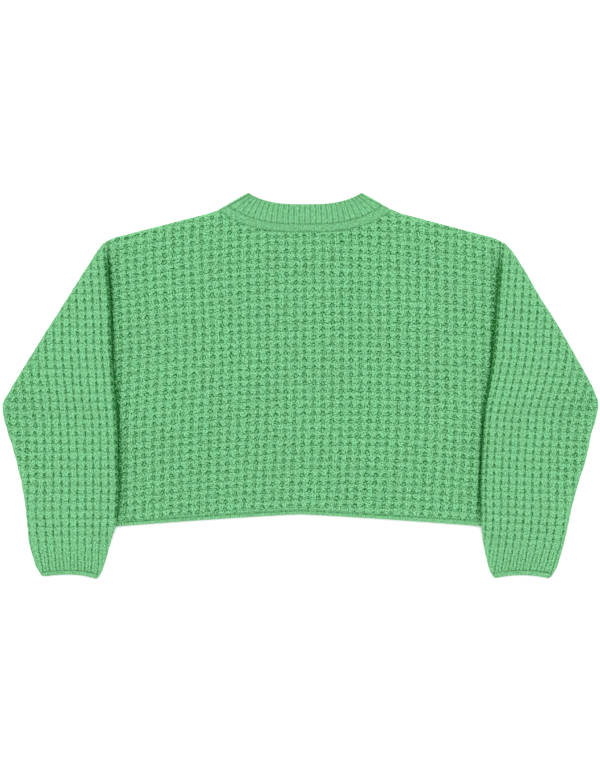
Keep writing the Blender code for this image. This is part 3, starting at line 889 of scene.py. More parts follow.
def add_relief_tree():
    """A geometry tree that sinks the grooves and pits of the waffle into a surface."""
    sizes = ("Groove depth", "Pit depth", "Purl height", "Wander")
    tree, given = new_tree("Waffle relief", sizes, "Float")
    knit, raised = [
        add_node(tree, "GeometryNodeInputNamedAttribute", {"Name": name}, data_type=kind)
        for name, kind in (("knit", "FLOAT_VECTOR"), ("raised", "FLOAT"))
    ]
    fade = Field(tree, raised.outputs["Attribute"])
    cell = WaffleCell(tree, *split(tree, knit.outputs["Attribute"]), given["Seed"])
    depth = cell.groove * given["Groove depth"] + cell.pit * given["Pit depth"]
    depth = depth - cell.purl * given["Purl height"]
    valley = cell.valley * (cell.ribbed * 0.5 + 0.35) * given["Groove depth"]
    height = (depth + valley) * fade * -1.0
    wander = given["Wander"] * fade
    _, drifting = noise(tree, knit.outputs["Attribute"], 0.9, 1.0)
    aside, along, _ = split(tree, drifting)
    sway = joined(tree, (aside - 0.5) * wander, (along - 0.5) * wander, 0.0)
    normal = add_node(tree, "GeometryNodeInputNormal").outputs["Normal"]
    sunk = add_node(tree, "ShaderNodeVectorMath", {0: normal, "Scale": height}, operation="SCALE")
    total = add_node(tree, "ShaderNodeVectorMath", (sunk.outputs[0], sway), operation="ADD")
    place = add_node(tree, "GeometryNodeSetPosition",
                     {"Geometry": given["Geometry"], "Offset": total.outputs[0]})
    end_tree(tree, place.outputs["Geometry"], given["Material"])
    return tree


def raise_relief(thing, material):
    """Sink the waffle's grooves and pits into a piece."""
    knit = bpy.context.scene.sweater_knit
    tree = bpy.data.node_groups.get("Waffle relief") or add_relief_tree()
    made = run_tree(thing, tree, {
        "Groove depth": knit.groove_depth,
        "Pit depth": knit.pit_depth,
        "Purl height": knit.purl_height,
        "Wander": knit.wander,
        "Seed": float(knit.seed),
        "Material": material,
    })
    thing.modifiers.clear()
    thing.data = made
    made.name = thing.name
    made.shade_smooth()
    made.set_sharp_from_angle(angle=np.radians(SHARP))


# --------------------------------------------------------------------------- sleeves

def column_frame(side, y):
    """Distance from x = 0 of a sleeve's first groove at a height along Y, and how narrow
    its columns are there."""
    outer, inner = sleeve_widths(side, max(y, COLUMN_ANCHOR))
    below = max(0.0, (COLUMN_ANCHOR - y) / (COLUMN_ANCHOR - SLEEVE_END_Y))
    from_inner, from_outer = (shift * below ** 2 for shift in COLUMNS_DRAWN[side])
    squeeze = 1.0 - (from_inner + from_outer) / (outer - inner)
    rise = eased(y, *GROOVE_RISE)
    return inner + from_inner + lerp(*FIRST_GROOVE[side], rise) * squeeze, squeeze


def sleeve_place(side, y, across, column):
    """Distance from x = 0 of a column of a sleeve."""
    first, squeeze = column_frame(side, y)
    spread = across + COLUMN_SPREAD * across * np.abs(across)
    return first + spread * column * squeeze


def sleeve_column(side, y, place, column):
    """The column of a sleeve at a distance from x = 0."""
    first, squeeze = column_frame(side, y)
    spread = (place - first) / (squeeze * column)
    size = (np.sqrt(1.0 + 4.0 * COLUMN_SPREAD * np.abs(spread)) - 1.0) / (2.0 * COLUMN_SPREAD)
    return np.sign(spread) * size


def nose(low, high, reach, steps):
    """Points of a half ellipse from one place to the one above it, without its ends."""
    base = max(low[0], high[0]) if reach > low[0] else min(low[0], high[0])
    turn = np.linspace(-np.pi / 2, np.pi / 2, steps + 1)[1:-1]
    up = (np.sin(turn) + 1) / 2
    return np.column_stack((base + (reach - base) * np.cos(turn), lerp(low[1], high[1], up)))


def sleeve_ring(side, y, lines, column):
    """One section of a sleeve: its outline, the column at each point, and how far the
    relief is raised there."""
    outer, inner = sleeve_widths(side, y)
    below = below_underarm(y)
    outer_nose = min(lerp(FOLD_NOSE, TUBE_NOSE, below), NOSE_LIMITS[0] * (outer - inner))
    inner_nose = min(INNER_NOSE, NOSE_LIMITS[1] * (outer - inner))
    arm = body_edge(side, y)
    if y < hem_end(side):
        arm = max(arm, inner + inner_nose + INNER_NOSE)
    start = max(outer - outer_nose, arm + 2 * GAP)
    places = lerp(start, arm + below * INNER_NOSE, np.linspace(0.0, 1.0, FLOOR_POINTS))
    under = np.column_stack((places, below * sleeve_floor(side, y, places)))
    ledge = np.array((arm, min(inner + inner_nose, arm - GAP)))
    under = np.vstack((under, np.column_stack((ledge, sleeve_floor(side, y, ledge)))))
    places = np.clip(sleeve_place(side, y, lines, column), inner + inner_nose, outer - outer_nose)
    top = np.column_stack((places, sleeve_roof(side, y, places)))
    inner_fold = nose(under[-1], top[0], inner, INNER_NOSE_STEPS)
    outer_fold = nose(under[0], top[-1], outer, OUTER_NOSE_STEPS)[::-1]
    outline = np.vstack((under, inner_fold, top, outer_fold))
    on_top = sleeve_column(side, y, places, column)
    into = len(under) + len(inner_fold)
    past = into + len(top)
    run = distances(outline) / column
    across = run - run[into] + on_top[0]
    across[into:past] = on_top
    across[past:] = on_top[-1] + run[past:] - run[past - 1]
    raised = np.ones(len(outline))
    raised[:len(under)] = 0.0
    raised[len(under):into] = np.linspace(0.0, 1.0, len(inner_fold) + 1)[1:]
    shown = np.linspace(1.0, 0.0, len(outer_fold) + 1)[1:]
    raised[past:] = eased(shown, 0.0, 1.0 - HIDDEN_TURN)
    return outline, across, raised


def sleeve_shade(side, y, outline):
    """How much shade is painted on the points of a section along the inner edge, where it rolls
    over the back, and at the cuff's seam, painted lighter near the folds.
    """
    outer, inner = sleeve_widths(side, y)
    place, level = outline.T
    middle = (sleeve_floor(side, y, place) + sleeve_roof(side, y, place)) / 2
    inward = np.where(level > middle, place - inner, 0.0)
    wider = eased(y, *NOSE_WIDER)
    deep = VALLEY_DARK * bell(inward, NOSE_SHADE[0] * (1.0 + NOSE_GROWTH * wider))
    deep = deep + lerp(*NOSE_DIM, wider) * bell(inward, NOSE_SHADE[1])
    deep = np.where(place < inner + NOSE_LIMIT * NOSE_SHADE[1], deep, 0.0)
    deep = np.where(level > middle, deep, NOSE_UNDER * deep)
    beside = eased(y, hem_end(side), hem_end(side) + VALLEY_END)
    deep = deep * eased(y, *VALLEY_TOP) * beside
    deep = np.maximum(deep, seam_shade("cuff", y - SLEEVE_END_Y))
    return deep - calm(outer - place) - calm(inward) * (1.0 - beside)


def sleeve_hollow(side, y, outline):
    """The slot inside a sleeve, point for point with its outline."""
    outer, inner = sleeve_widths(side, y)
    near, far = inner + CLOTH, outer - CLOTH
    under_count = FLOOR_POINTS + 2
    fold_count = INNER_NOSE_STEPS - 1
    far_count = OUTER_NOSE_STEPS - 1
    share = (outline[:, 0] - inner - INNER_NOSE) / (outer - TUBE_NOSE - inner - INNER_NOSE)
    place = lerp(near + SLOT, far - SLOT, np.clip(share, 0.0, 1.0))
    level = (sleeve_floor(side, y, place) + sleeve_roof(side, y, place)) / 2
    lift = np.ones(len(outline))
    lift[:under_count] = -1.0
    fold = slice(under_count, under_count + fold_count)
    place[fold] = near
    lift[fold] = np.linspace(-1.0, 1.0, fold_count + 2)[1:-1]
    place[-far_count:] = far
    lift[-far_count:] = np.linspace(1.0, -1.0, far_count + 2)[1:-1]
    return np.column_stack((place, level + lift * SLOT / 2))


def placed_ring(side, y, outline, outer, inner):
    """Points of an outline in the garment's frame, drawn down towards the cuff's edges."""
    sign = -1.0 if side == "left" else 1.0
    middle, half = (outer + inner) / 2, (outer - inner) / 2
    across = (outline[:, 0] - middle) / half
    drawn = eased(y, ARCH_START_Y, SLEEVE_END_Y)
    along = y - drawn * np.where(across < 0, *CUFF_ARCH[side]) * across ** 2
    return np.column_stack((sign * outline[:, 0], along, outline[:, 1]))


def drawn_in(side, y, outline):
    """0 on open waffle, up to 1 where columns close up beside the body, 2 on cuff ribs."""
    distance = outline[:, 0] - sleeve_widths(side, y)[1]
    beside = DRAWN_SHARE * (1.0 - eased(distance, *DRAWN_BAND))
    return lerp(np.maximum(beside, eased(y, *DRAWN_CUFF)), 2.0, eased(y, *CUFF_RIBS[side]))


def add_sleeve(side, column, row):
    """One sleeve, folded over itself above the underarm and a flat open tube below."""
    column, row = column * SLEEVE_STRETCH[side][0], row * SLEEVE_STRETCH[side][1]
    lines = knit_lines(SLEEVE_CELLS[0], CUTS[0])
    levels = SLEEVE_PIT_Y[side] + knit_lines(SLEEVE_CELLS[1], CUTS[1]) * row
    levels = levels[(levels > SLEEVE_END_Y + MM) & (levels < SLEEVE_TOP_Y - MM)]
    levels = np.concatenate(([SLEEVE_END_Y, SLEEVE_END_Y + END_LIP], levels, [SLEEVE_TOP_Y]))
    rings, knit, raised, painted_shade = [], [], [], []
    for y in levels[::-1]:
        outline, across, high = sleeve_ring(side, y, lines, column)
        rings.append(placed_ring(side, y, outline, *sleeve_widths(side, y)))
        up = (y + SLEEVE_SLANT[side] * (outline[:, 0] - SLANT_START) - SLEEVE_PIT_Y[side]) / row
        knit.append(np.column_stack((across, up, drawn_in(side, y, outline))))
        to_end = min(y - SLEEVE_END_Y, (SLEEVE_TOP_Y - y) / TOP_FADE)
        raised.append(high * eased(to_end, 0.0, RELIEF_FADE))
        painted_shade.append(sleeve_shade(side, y, outline))
    for y in np.arange(SLEEVE_END_Y, HOLLOW_TOP, HOLLOW_STEP):
        outline, across, _ = sleeve_ring(side, y, lines, column)
        slot = sleeve_hollow(side, y, outline)
        rings.append(placed_ring(side, y, slot, *sleeve_widths(side, y)))
        knit.append(open_knit(across, np.full(len(across), (y - SLEEVE_PIT_Y[side]) / row)))
        raised.append(np.zeros(len(across)))
        painted_shade.append(np.zeros(len(across)))
    faces = tube_faces(len(rings[0]), len(rings))
    return add_mesh(f"sleeve_{side}_knit", np.vstack(rings), faces, np.vstack(knit),
                    np.concatenate(raised), np.concatenate(painted_shade))


# ------------------------------------------------------------------------------ neck

def arc_shares(down, count, behind, crowding=0.0):
    """Shares of the half width that cut a neck ring into equal lengths, or into lengths
    that are longer in the middle where crowding is positive."""
    fine = np.linspace(-1.0, 1.0, ARC_POINTS)
    half = neck_ring(down)[0]
    length = distances(np.column_stack((fine * half, neck_y(down, fine, behind))))
    length = 2.0 * length / length[-1] - 1.0
    even = np.linspace(-1.0, 1.0, count + 1)
    wanted = even * (1.0 + crowding * (1.0 - even * even))
    return np.interp(wanted, length, fine)


def neck_line(down, middle_back, middle_front, cuts, crowding):
    """Middle line of a flattened neck ring: along the back, round the right-hand fold,
    along the front and round the left-hand fold."""
    half = neck_ring(down)[0]
    bend = (middle_back - middle_front) / 2
    flat = 1.0 - bend / half
    centre = (middle_back + middle_front) / 2
    turn = np.linspace(np.pi / 2, -np.pi / 2, NECK_NOSE_STEPS + 1)[1:-1]
    corner = flat + bend / half * np.cos(turn)
    corner_y = np.where(turn > 0, neck_y(down, corner, True), neck_y(down, corner, False))
    back = arc_shares(down, cuts[0], True, crowding) * flat
    front = arc_shares(down, cuts[1], False)[::-1] * flat
    across = np.concatenate((back, corner, front, -corner[::-1]))
    y = np.concatenate((neck_y(down, back, True), corner_y, neck_y(down, front, False),
                        corner_y[::-1]))
    z = np.concatenate((np.full(len(back), middle_back), centre + bend * np.sin(turn),
                        np.full(len(front), middle_front),
                        centre + bend * np.sin(turn[::-1])))
    return np.column_stack((NECK_X + across * half, y, z))


def wall_normals(grid):
    """Outward directions of a grid of points, rows down the neck and columns round it."""
    round_step = np.roll(grid, -1, axis=1) - np.roll(grid, 1, axis=1)
    down_step = np.gradient(grid, axis=0)
    normals = np.cross(down_step, round_step)
    return normals / np.linalg.norm(normals, axis=2, keepdims=True)


def add_neck_ring(name, thickness, rows, cuts, relief, stitches, dim=0.0):
    """A flattened ring of the neck. Each row is a place down the neck and its share of
    the thickness; the relief lowers the outer points along it."""
    middle_front = thickness / 2
    middle_back = BACK_BOTTOM + thickness / 2
    lines = []
    for down, _ in rows:
        crowding = lerp(*RIB_CROWDING, min(down, 1.0))
        lines.append(neck_line(down, middle_back, middle_front, cuts, crowding))
    grid = np.array(lines)
    normals = wall_normals(grid)
    half_share = np.array([share for _, share in rows])[:, None, None] / 2
    outer = grid + normals * (thickness * half_share - relief[None, :, None])
    inner = grid - normals * thickness * half_share
    rings = np.concatenate((outer, inner[::-1]))
    across, up = np.meshgrid(np.arange(grid.shape[1]) * stitches[0],
                             np.array([down for down, _ in rows]) * stitches[1])
    knit = open_knit(across, up)
    knit = np.concatenate((knit, knit[::-1]))
    halves, _, heights, _ = np.array([neck_ring(down) for down, _ in rows]).T[..., None]
    painted_shade = dim + seam_shade("neck", heights - NECK_RINGS[1, 2])
    share = (grid[..., 0] - NECK_X) / halves
    painted_shade = painted_shade + neck_foot_shade(heights - NECK_RINGS[2, 2], share)
    return closed_loft(name, rings, knit, painted_shade)


def rib_relief(share, groove_depth):
    """How far a rib's surface lies below its crest, at a share of the rib's width."""
    off_groove = np.abs(share - np.round(share))
    groove = 1.0 - eased(off_groove, *RIB_GROOVE)
    return groove_depth * (groove + RIB_VALLEY_DEPTH * (1.0 - eased(off_groove, *RIB_VALLEY)))


def add_neckband(groove_depth):
    """The ribbed ring of the neck."""
    back_cuts = BACK_RIBS * POINTS_PER_RIB
    relief = np.zeros(back_cuts + FRONT_NECK_CUTS + 2 * NECK_NOSE_STEPS)
    relief[:back_cuts + 1] = rib_relief(np.arange(back_cuts + 1) / POINTS_PER_RIB, groove_depth)
    downs = np.linspace(*BAND_SPAN, NECK_ROWS)
    rows = [BAND_RIM, *((down, 1.0) for down in downs), BAND_FOOT]
    cuts = (back_cuts, FRONT_NECK_CUTS)
    return add_neck_ring("neckband_knit", RIB_CLOTH, rows, cuts, relief,
                         (1.0 / POINTS_PER_RIB, BAND_STITCHES))


def add_neck_edging():
    """The plain ring between the ribs and the panels."""
    relief = np.zeros(sum(EDGING_CUTS) + 2 * NECK_NOSE_STEPS)
    rows = ((1.0, 0.62), (1.06, 0.86), (1.18, 1.0), (1.4, 1.03), (1.6, 1.03), (1.82, 1.0),
            (1.94, 0.86), (2.0, 0.62))
    return add_neck_ring("neck_edging_knit", EDGE_CLOTH, rows, EDGING_CUTS, relief,
                         EDGING_STITCHES, EDGING_DIM)


# -------------------------------------------------------------------------- edgings

def ribbon_profile(thickness, height, rim):
    """Section of a narrow edging: up from its rim and over its thickness."""
    turn = np.linspace(-np.pi / 2, np.pi / 2, HEM_TURN_POINTS)
    crown = np.linspace(rim, height - rim / 2, HEM_TURN_POINTS)
    rows = [(rim - rim * np.cos(angle), thickness * (np.sin(angle) + 1) / 2) for angle in turn]
    rows += [(along, thickness) for along in crown[1:]]
    rows += [(height, thickness * HEM_SEAM_LIP), (height, 0.0)]
    return np.array(rows)


def add_hem(name, behind):
    """The narrow plain edging along the foot of a panel."""
    x = np.linspace(*HEM_CORNER_X.values(), HEM_POINTS)
    profile = ribbon_profile(EDGE_CLOTH, EDGING, HEM_RIM)
    foot = hem_y(x)
    base, sign = (BACK_BOTTOM, 1.0) if behind else (EDGE_CLOTH, -1.0)
    rings = np.stack([np.column_stack((
        np.full(len(profile), place), low + profile[:, 0], base + sign * profile[:, 1],
    )) for place, low in zip(x, foot)])
    knit = open_knit(*np.broadcast_arrays(x[:, None] / PLAIN_STITCH[0],
                                          profile[None, :, 0] / PLAIN_STITCH[1]))
    painted_shade = seam_shade("hem", hem_line(x)[:, None] - profile[:, 0])
    if behind:
        painted_shade = np.maximum(painted_shade, VALLEY_ON_HEM * sleeve_valley(x, foot)[:, None])
    wide, tall = len(profile), len(x)
    return add_mesh(name, rings, tube_faces(wide, tall), knit, np.ones(wide * tall), painted_shade)


def flat_ring(outer, inner, low, high):
    """Outline of a flattened ring between two heights, with round folds."""
    fold = (high - low) / 2
    places = np.linspace(outer - fold, inner + fold, CUFF_POINTS)
    under = np.column_stack((places, np.full(CUFF_POINTS, low)))
    top = np.column_stack((places[::-1], np.full(CUFF_POINTS, high)))
    inner_fold = nose(under[-1], top[0], inner, CUFF_NOSE_STEPS)
    outer_fold = nose(under[0], top[-1], outer, CUFF_NOSE_STEPS)[::-1]
    return np.vstack((under, inner_fold, top, outer_fold))


def add_cuff(side):
    """The narrow tubular ring at the end of a sleeve."""
    (outer_start, inner_start), (outer_end, inner_end) = CUFF_SECTIONS[side]
    height = 2 * EDGE_CLOTH + SLOT
    outside, inside = [], []
    for along, trim in CUFF_ROWS:
        y = lerp(SLEEVE_END_Y - GAP, CUFF_END_Y[side], along)
        corner = CUFF_CORNER * max(0.0, 2.0 * along - 1.0) ** 3
        outer = lerp(outer_start, outer_end, along) * MM
        inner = lerp(inner_start, inner_end, along) * MM
        cut = EDGE_CLOTH * trim
        aside = max(cut, corner)
        outline = flat_ring(outer - aside, inner + aside, cut, height - cut)
        outside.append(placed_ring(side, y, outline, outer, inner))
        aside = EDGE_CLOTH + corner
        slot = flat_ring(outer - aside, inner + aside, EDGE_CLOTH, EDGE_CLOTH + SLOT)
        inside.append(placed_ring(side, y, slot, outer, inner))
    rings = np.array(outside + inside[::-1])
    knit = open_knit(rings[..., 0] / PLAIN_STITCH[0], rings[..., 1] / PLAIN_STITCH[1])
    below = np.array(CUFF_ROWS)[:, 0] * (SLEEVE_END_Y - CUFF_END_Y[side])
    return closed_loft(f"cuff_{side}_knit", rings, knit, seam_shade("cuff", below)[:, None])


# ------------------------------------------------------------------------- materials

def knit_fields(tree):
    """The place in the knitting, and how much shade is painted on the surface, in a material."""
    place, painted_shade = [add_node(tree, "ShaderNodeAttribute", attribute_name=name)
                     for name in ("knit", "painted_shade")]
    return split(tree, place.outputs["Vector"]), Field(tree, painted_shade.outputs["Fac"])


def yarn_material(name, pattern):
    """A knit finish, with its shade painted in: the colour runs from the highlight colour to the
    painted shade of the hollows. The pattern gives how hollow the knitting is, its height in mm
    and how much lighter or darker each leg is."""
    found = bpy.data.materials.get(name)
    if found:
        return found
    yarn = bpy.context.scene.sweater_yarn
    made = bpy.data.materials.new(name)
    made.use_nodes = True
    tree = made.node_tree
    shader = tree.nodes["Principled BSDF"]
    hollow, height, tone = pattern(tree)
    place = add_node(tree, "ShaderNodeTexCoord").outputs["Object"]
    fuzz, patch, broad = [noise(tree, place, *grain)[0] - 0.5
                          for grain in (FUZZ_GRAIN, PATCH_GRAIN, BROAD_GRAIN)]
    deep = hollow * HOLLOW_SHADE + WALE_SHADE + fuzz * FUZZ_SHADE - tone * yarn.contrast
    light = (*yarn.light, 1.0)
    blend = add_node(tree, "ShaderNodeMix", {
        "Factor": deep.kept(),
        "A": light,
        "B": (*yarn.deep, 1.0),
    }, data_type="RGBA")
    tint = add_node(tree, "ShaderNodeHueSaturation", {
        "Hue": patch * PATCH_HUE + 0.5,
        "Value": patch * PATCH_VALUE + broad * BROAD_VALUE + 1.0,
        "Color": blend.outputs["Result"],
    })
    bump = add_node(tree, "ShaderNodeBump",
                    {"Distance": MM, "Height": height + fuzz * FUZZ_HEIGHT})
    fill(tree, shader.inputs, {
        "Base Color": tint.outputs["Color"],
        "Normal": bump.outputs["Normal"],
        "Roughness": yarn.roughness,
        "Specular IOR Level": 0.04,
        "Sheen Weight": yarn.sheen,
        "Sheen Roughness": 0.5,
        "Sheen Tint": light,
    })
    return made


def waffle_pattern(tree):
    """Waffle knit: pits under dark arches, between pairs of knit wales."""
    place, painted_shade = knit_fields(tree)
    cell = WaffleCell(tree, *place, float(bpy.context.scene.sweater_knit.seed))
    hollow = waffle_hollow(cell)
    height = cell.round * 0.35 + cell.legs * 0.16 - hollow * 0.8
    tone = cell.weave * (3.9 - cell.closing * 0.8) + (cell.legs - 0.5) * 0.3
    return (hollow + painted_shade * (cell.uneven * 1.2 + 0.9)).kept(), height, tone


def rib_pattern(tree):
    """Ribs of two knit wales each, with a groove between ribs."""
    (across, up, _), painted_shade = knit_fields(tree)
    off_groove = abs(across - across.nearest())
    groove = off_groove.ease(0.17, 0.02)
    valley = (0.5 - off_groove).bell(0.08)
    off_wale = abs(off_groove - 0.27)
    leg_line = up * 1.3 + off_wale * 1.6
    legs = leg_line.wave()
    chance = cell_chances(tree, (across * 4.0).floored(), leg_line.nearest(), 3.0)
    # Painted shade in the grooves and valleys between the ribs.
    hollow = groove * (chance[0] * 0.1 + 0.3) + valley * (chance[1] * 0.1 + 0.24)
    height = off_wale.bell(0.13) * 0.3 + legs * 0.16 - groove * 0.4
    tone = unevenness(tree, across * 5.5, leg_line * 0.5) * 1.7 + (legs - 0.5) * 0.14
    return (hollow + painted_shade).kept(), height, tone


def plain_pattern(tree):
    """Plain knit: columns of V stitches."""
    (across, up, _), painted_shade = knit_fields(tree)
    off_middle = abs(across - across.nearest())
    between = off_middle.ease(0.34, 0.5)
    leg_line = up - off_middle * 1.1
    legs = leg_line.wave()
    # Painted shade between the columns and between the legs of the stitches.
    hollow = between * 0.26 + (1.0 - legs) * 0.1
    height = (1.0 - between) * 0.3 + legs * 0.2
    tone = unevenness(tree, across * 2.2, leg_line * 0.9) * 2.2
    return (hollow + painted_shade).kept(), height, tone


def yarn_pattern(tree):
    """A single yarn, with only its own fuzz."""
    (across, _, _), _ = knit_fields(tree)
    return across * 0.0 + 0.25, across * 0.0, across * 0.0


# ------------------------------------------------------------------ linking stitches

def add_stitch_tree():
    """A geometry tree that sets small yarn loops along a line."""
    sizes = ("Stitch length", "Yarn thickness", "Loop height")
    tree, given = new_tree("Linking stitches", sizes, "Int")
    length = given["Stitch length"]
    loop = add_node(tree, "GeometryNodeCurveQuadraticBezier", {
        "Resolution": LOOP_CUTS,
        "Start": joined(tree, length * -LOOP_REACH, 0.0, 0.0),
        "Middle": joined(tree, 0.0, 0.0, given["Loop height"]),
        "End": joined(tree, length * LOOP_REACH, 0.0, 0.0),
    })
    section = add_node(tree, "GeometryNodeCurvePrimitiveCircle",
                       {"Resolution": LOOP_CUTS, "Radius": given["Yarn thickness"] * 0.5})
    tube = add_node(tree, "GeometryNodeCurveToMesh", {
        "Curve": loop.outputs["Curve"],
        "Profile Curve": section.outputs["Curve"],
        "Fill Caps": True,
    })
    soft = add_node(tree, "GeometryNodeSetShadeSmooth", {"Geometry": tube.outputs["Mesh"]})
    line = add_node(tree, "GeometryNodeCurveToPoints",
                    {"Curve": given["Geometry"], "Length": length}, mode="LENGTH")
    chance = add_node(tree, "FunctionNodeRandomValue", {
        "Min": LOOP_SIZES[0],
        "Max": LOOP_SIZES[1],
        "Seed": given["Seed"],
    }, data_type="FLOAT_VECTOR")
    turn = add_node(tree, "FunctionNodeAlignRotationToVector",
                    {"Vector": line.outputs["Tangent"]}, axis="X", pivot_axis="Z")
    copies = add_node(tree, "GeometryNodeInstanceOnPoints", {
        "Points": line.outputs["Points"],
        "Instance": soft.outputs["Geometry"],
        "Rotation": turn.outputs["Rotation"],
        "Scale": chance.outputs["Value"],
    })
    end_tree(tree, copies.outputs["Instances"], given["Material"])
    return tree


def add_linking(name, lines):
    """Yarn loops along the seams where an edging is linked on."""
    knit = bpy.context.scene.sweater_knit
    curve = bpy.data.curves.new(name, "CURVE")
    curve.dimensions = "3D"
    for line in lines:
        spline = curve.splines.new("POLY")
        spline.points.add(len(line) - 1)
        spline.points.foreach_set("co", np.column_stack((line, np.ones(len(line)))).ravel())
    path = placed(name + "_path", curve)
    tree = bpy.data.node_groups.get("Linking stitches") or add_stitch_tree()
    yarn = yarn_material("linking_yarn", yarn_pattern)
    mesh = run_tree(path, tree, {
        "Stitch length": knit.stitch_length,
        "Yarn thickness": knit.yarn_thickness,
        "Loop height": knit.yarn_thickness * LOOP_HEIGHT,
        "Seed": knit.seed,
        "Material": yarn,
    })
    bpy.data.objects.remove(path, do_unlink=True)
    mesh.materials.clear()
    mesh.materials.append(yarn)
    thing = placed(name, mesh)
    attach(thing, "root")


def neck_seam(down, lift):
    """A line along the back of the neck at a place down it."""
    share = np.linspace(-SEAM_END, SEAM_END, SEAM_POINTS)
    x = NECK_X + share * neck_ring(down)[0]
    return np.column_stack((x, neck_y(down, share, True), np.full(len(x), BACK_BOTTOM + lift)))


def hem_seam(base):
    """A line where a hem edging meets its panel."""
    x = np.linspace(HEM_CORNER_X["left"] + MM, HEM_CORNER_X["right"] - MM, SEAM_POINTS)
    return np.column_stack((x, hem_y(x) + EDGING + GAP / 2, np.full(len(x), base)))


def cuff_seam(side):
    """A line across the top of a sleeve where its cuff is linked on."""
    outer, inner = sleeve_widths(side, SLEEVE_END_Y)
    places = np.linspace(inner + INNER_NOSE, outer - TUBE_NOSE, CUFF_SEAM_POINTS)
    level = 2 * EDGE_CLOTH + SLOT - CUFF_SINK
    outline = np.column_stack((places, np.full(len(places), level)))
    return placed_ring(side, SLEEVE_END_Y - GAP / 2, outline, outer, inner)


# ------------------------------------------------------------------ add-on properties

class SweaterKnit(bpy.types.PropertyGroup):
    """Sizes of the knitting."""

    column: bpy.props.FloatProperty(
        name="Column width",
        description="Width of one waffle column on the body, from pit to pit",
        default=13.88 * MM, unit="LENGTH", precision=4,
    )
    row: bpy.props.FloatProperty(
        name="Row height",
        description="Height of one waffle row on the body, from pit to pit",
        default=11.52 * MM, unit="LENGTH", precision=4,
    )
    sleeve_column: bpy.props.FloatProperty(
        name="Sleeve column width",
        description="Width of one waffle column on a sleeve, beside the body",
        default=11.7 * MM, unit="LENGTH", precision=4,
    )
    sleeve_row: bpy.props.FloatProperty(
        name="Sleeve row height",
        description="Height of one waffle row on a sleeve",
        default=11.9 * MM, unit="LENGTH", precision=4,
    )
    groove_depth: bpy.props.FloatProperty(
        name="Groove depth",
        description="How far the columns between the raised wales lie below them",
        default=0.7 * MM, unit="LENGTH", precision=4,
    )
    pit_depth: bpy.props.FloatProperty(
        name="Pit depth",
        description="How much deeper a pit lies than its column",
        default=1.5 * MM, unit="LENGTH", precision=4,
    )
    purl_height: bpy.props.FloatProperty(
        name="Purl height",
        description="Height of the purl bump in the middle of a pit",
        default=1.0 * MM, unit="LENGTH", precision=4,
    )
    wander: bpy.props.FloatProperty(
        name="Wander",
        description="How far hand and wear pull a cell off its place, in all",
        default=1.3 * MM, unit="LENGTH", precision=4,
    )
    rib_groove: bpy.props.FloatProperty(
        name="Rib groove depth",
        description="Depth of the grooves between the ribs of the neckband",
        default=1.1 * MM, unit="LENGTH", precision=4,
    )
    stitch_length: bpy.props.FloatProperty(
        name="Linking stitch length",
        description="Length of one stitch of the seams along the edgings",
        default=3.4 * MM, unit="LENGTH", precision=4,
    )
    yarn_thickness: bpy.props.FloatProperty(
        name="Yarn thickness",
        description="Thickness of the yarn of the linking stitches",
        default=0.9 * MM, unit="LENGTH", precision=4,
    )
    seed: bpy.props.IntProperty(
        name="Seed",
        description="Chooses how the cells differ from each other",
        default=7, min=0,
    )


class SweaterYarn(bpy.types.PropertyGroup):
    """Finish of the yarn."""

    light: bpy.props.FloatVectorProperty(
        name="Highlights",
        description="Colour where the yarn catches the light",
        default=(0.229, 0.592, 0.294), subtype="COLOR", size=3, min=0.0, max=1.0,
    )
    # The painted shade in the deepest holes of the knitting.
    deep: bpy.props.FloatVectorProperty(
        name="Hollows",
        description="Colour in the deepest holes of the knitting",
        default=(0.0, 0.108, 0.006), subtype="COLOR", size=3, min=0.0, max=1.0,
    )
    contrast: bpy.props.FloatProperty(
        name="Contrast",
        description="How much the legs of the stitches differ in brightness",
        default=0.5, subtype="FACTOR", min=0.0, max=1.0,
    )
    roughness: bpy.props.FloatProperty(
        name="Roughness",
        description="How dull the yarn is",
        default=0.92, subtype="FACTOR", min=0.0, max=1.0,
    )
    sheen: bpy.props.FloatProperty(
        name="Sheen",
        description="How much the yarn's fuzz catches light at its edges",
        default=0.04, subtype="FACTOR", min=0.0, max=1.0,
    )


class SweaterStage(bpy.types.PropertyGroup):
    """Light, floor and camera."""

    light_power: bpy.props.FloatProperty(
        name="Light power",
        description="Power of the soft light overhead",
        default=125.0, unit="POWER", min=0.0,
    )
    surround: bpy.props.FloatProperty(
        name="Surround",
        description="Strength of the pale light from all round",
        default=1.0, min=0.0,
    )
    floor: bpy.props.FloatVectorProperty(
        name="Floor",
        description="Colour of the floor",
        default=(0.98, 0.98, 0.98), subtype="COLOR", size=3, min=0.0, max=1.0,
    )
    lens: bpy.props.FloatProperty(
        name="Lens",
        description="Focal length of the camera, in millimetres",
        default=135.0, min=1.0,
    )
    view_height: bpy.props.FloatProperty(
        name="View height",
        description="Height of the picture at the sweater",
        default=1.1475, unit="LENGTH", min=0.1,
    )


# -------------------------------------------------------------------------- operators

class SWEATER_OT_body(bpy.types.Operator):
    """Build the back and the front, with their hem edgings"""

    bl_idname = "sweater.body"
    bl_label = "Back and front"

    def execute(self, context):
        knit = context.scene.sweater_knit
        waffle = yarn_material("knitted_waffle", waffle_pattern)
        plain = yarn_material("knitted_plain", plain_pattern)
        for node, behind, cuts, length, area in (
            ("back", True, CUTS, 0.47, 0.258),
            ("front", False, COARSE_CUTS, 0.44, 0.2505),
        ):
            panel = add_panel(f"{node}_knit", behind, (knit.column, knit.row), cuts)
            raise_relief(panel, waffle)
            finished(panel, node)
            hem = add_hem(f"hem_{node}_knit", behind)
            hem.data.materials.append(plain)
            finished(hem, f"hem_{node}")
        return {"FINISHED"}


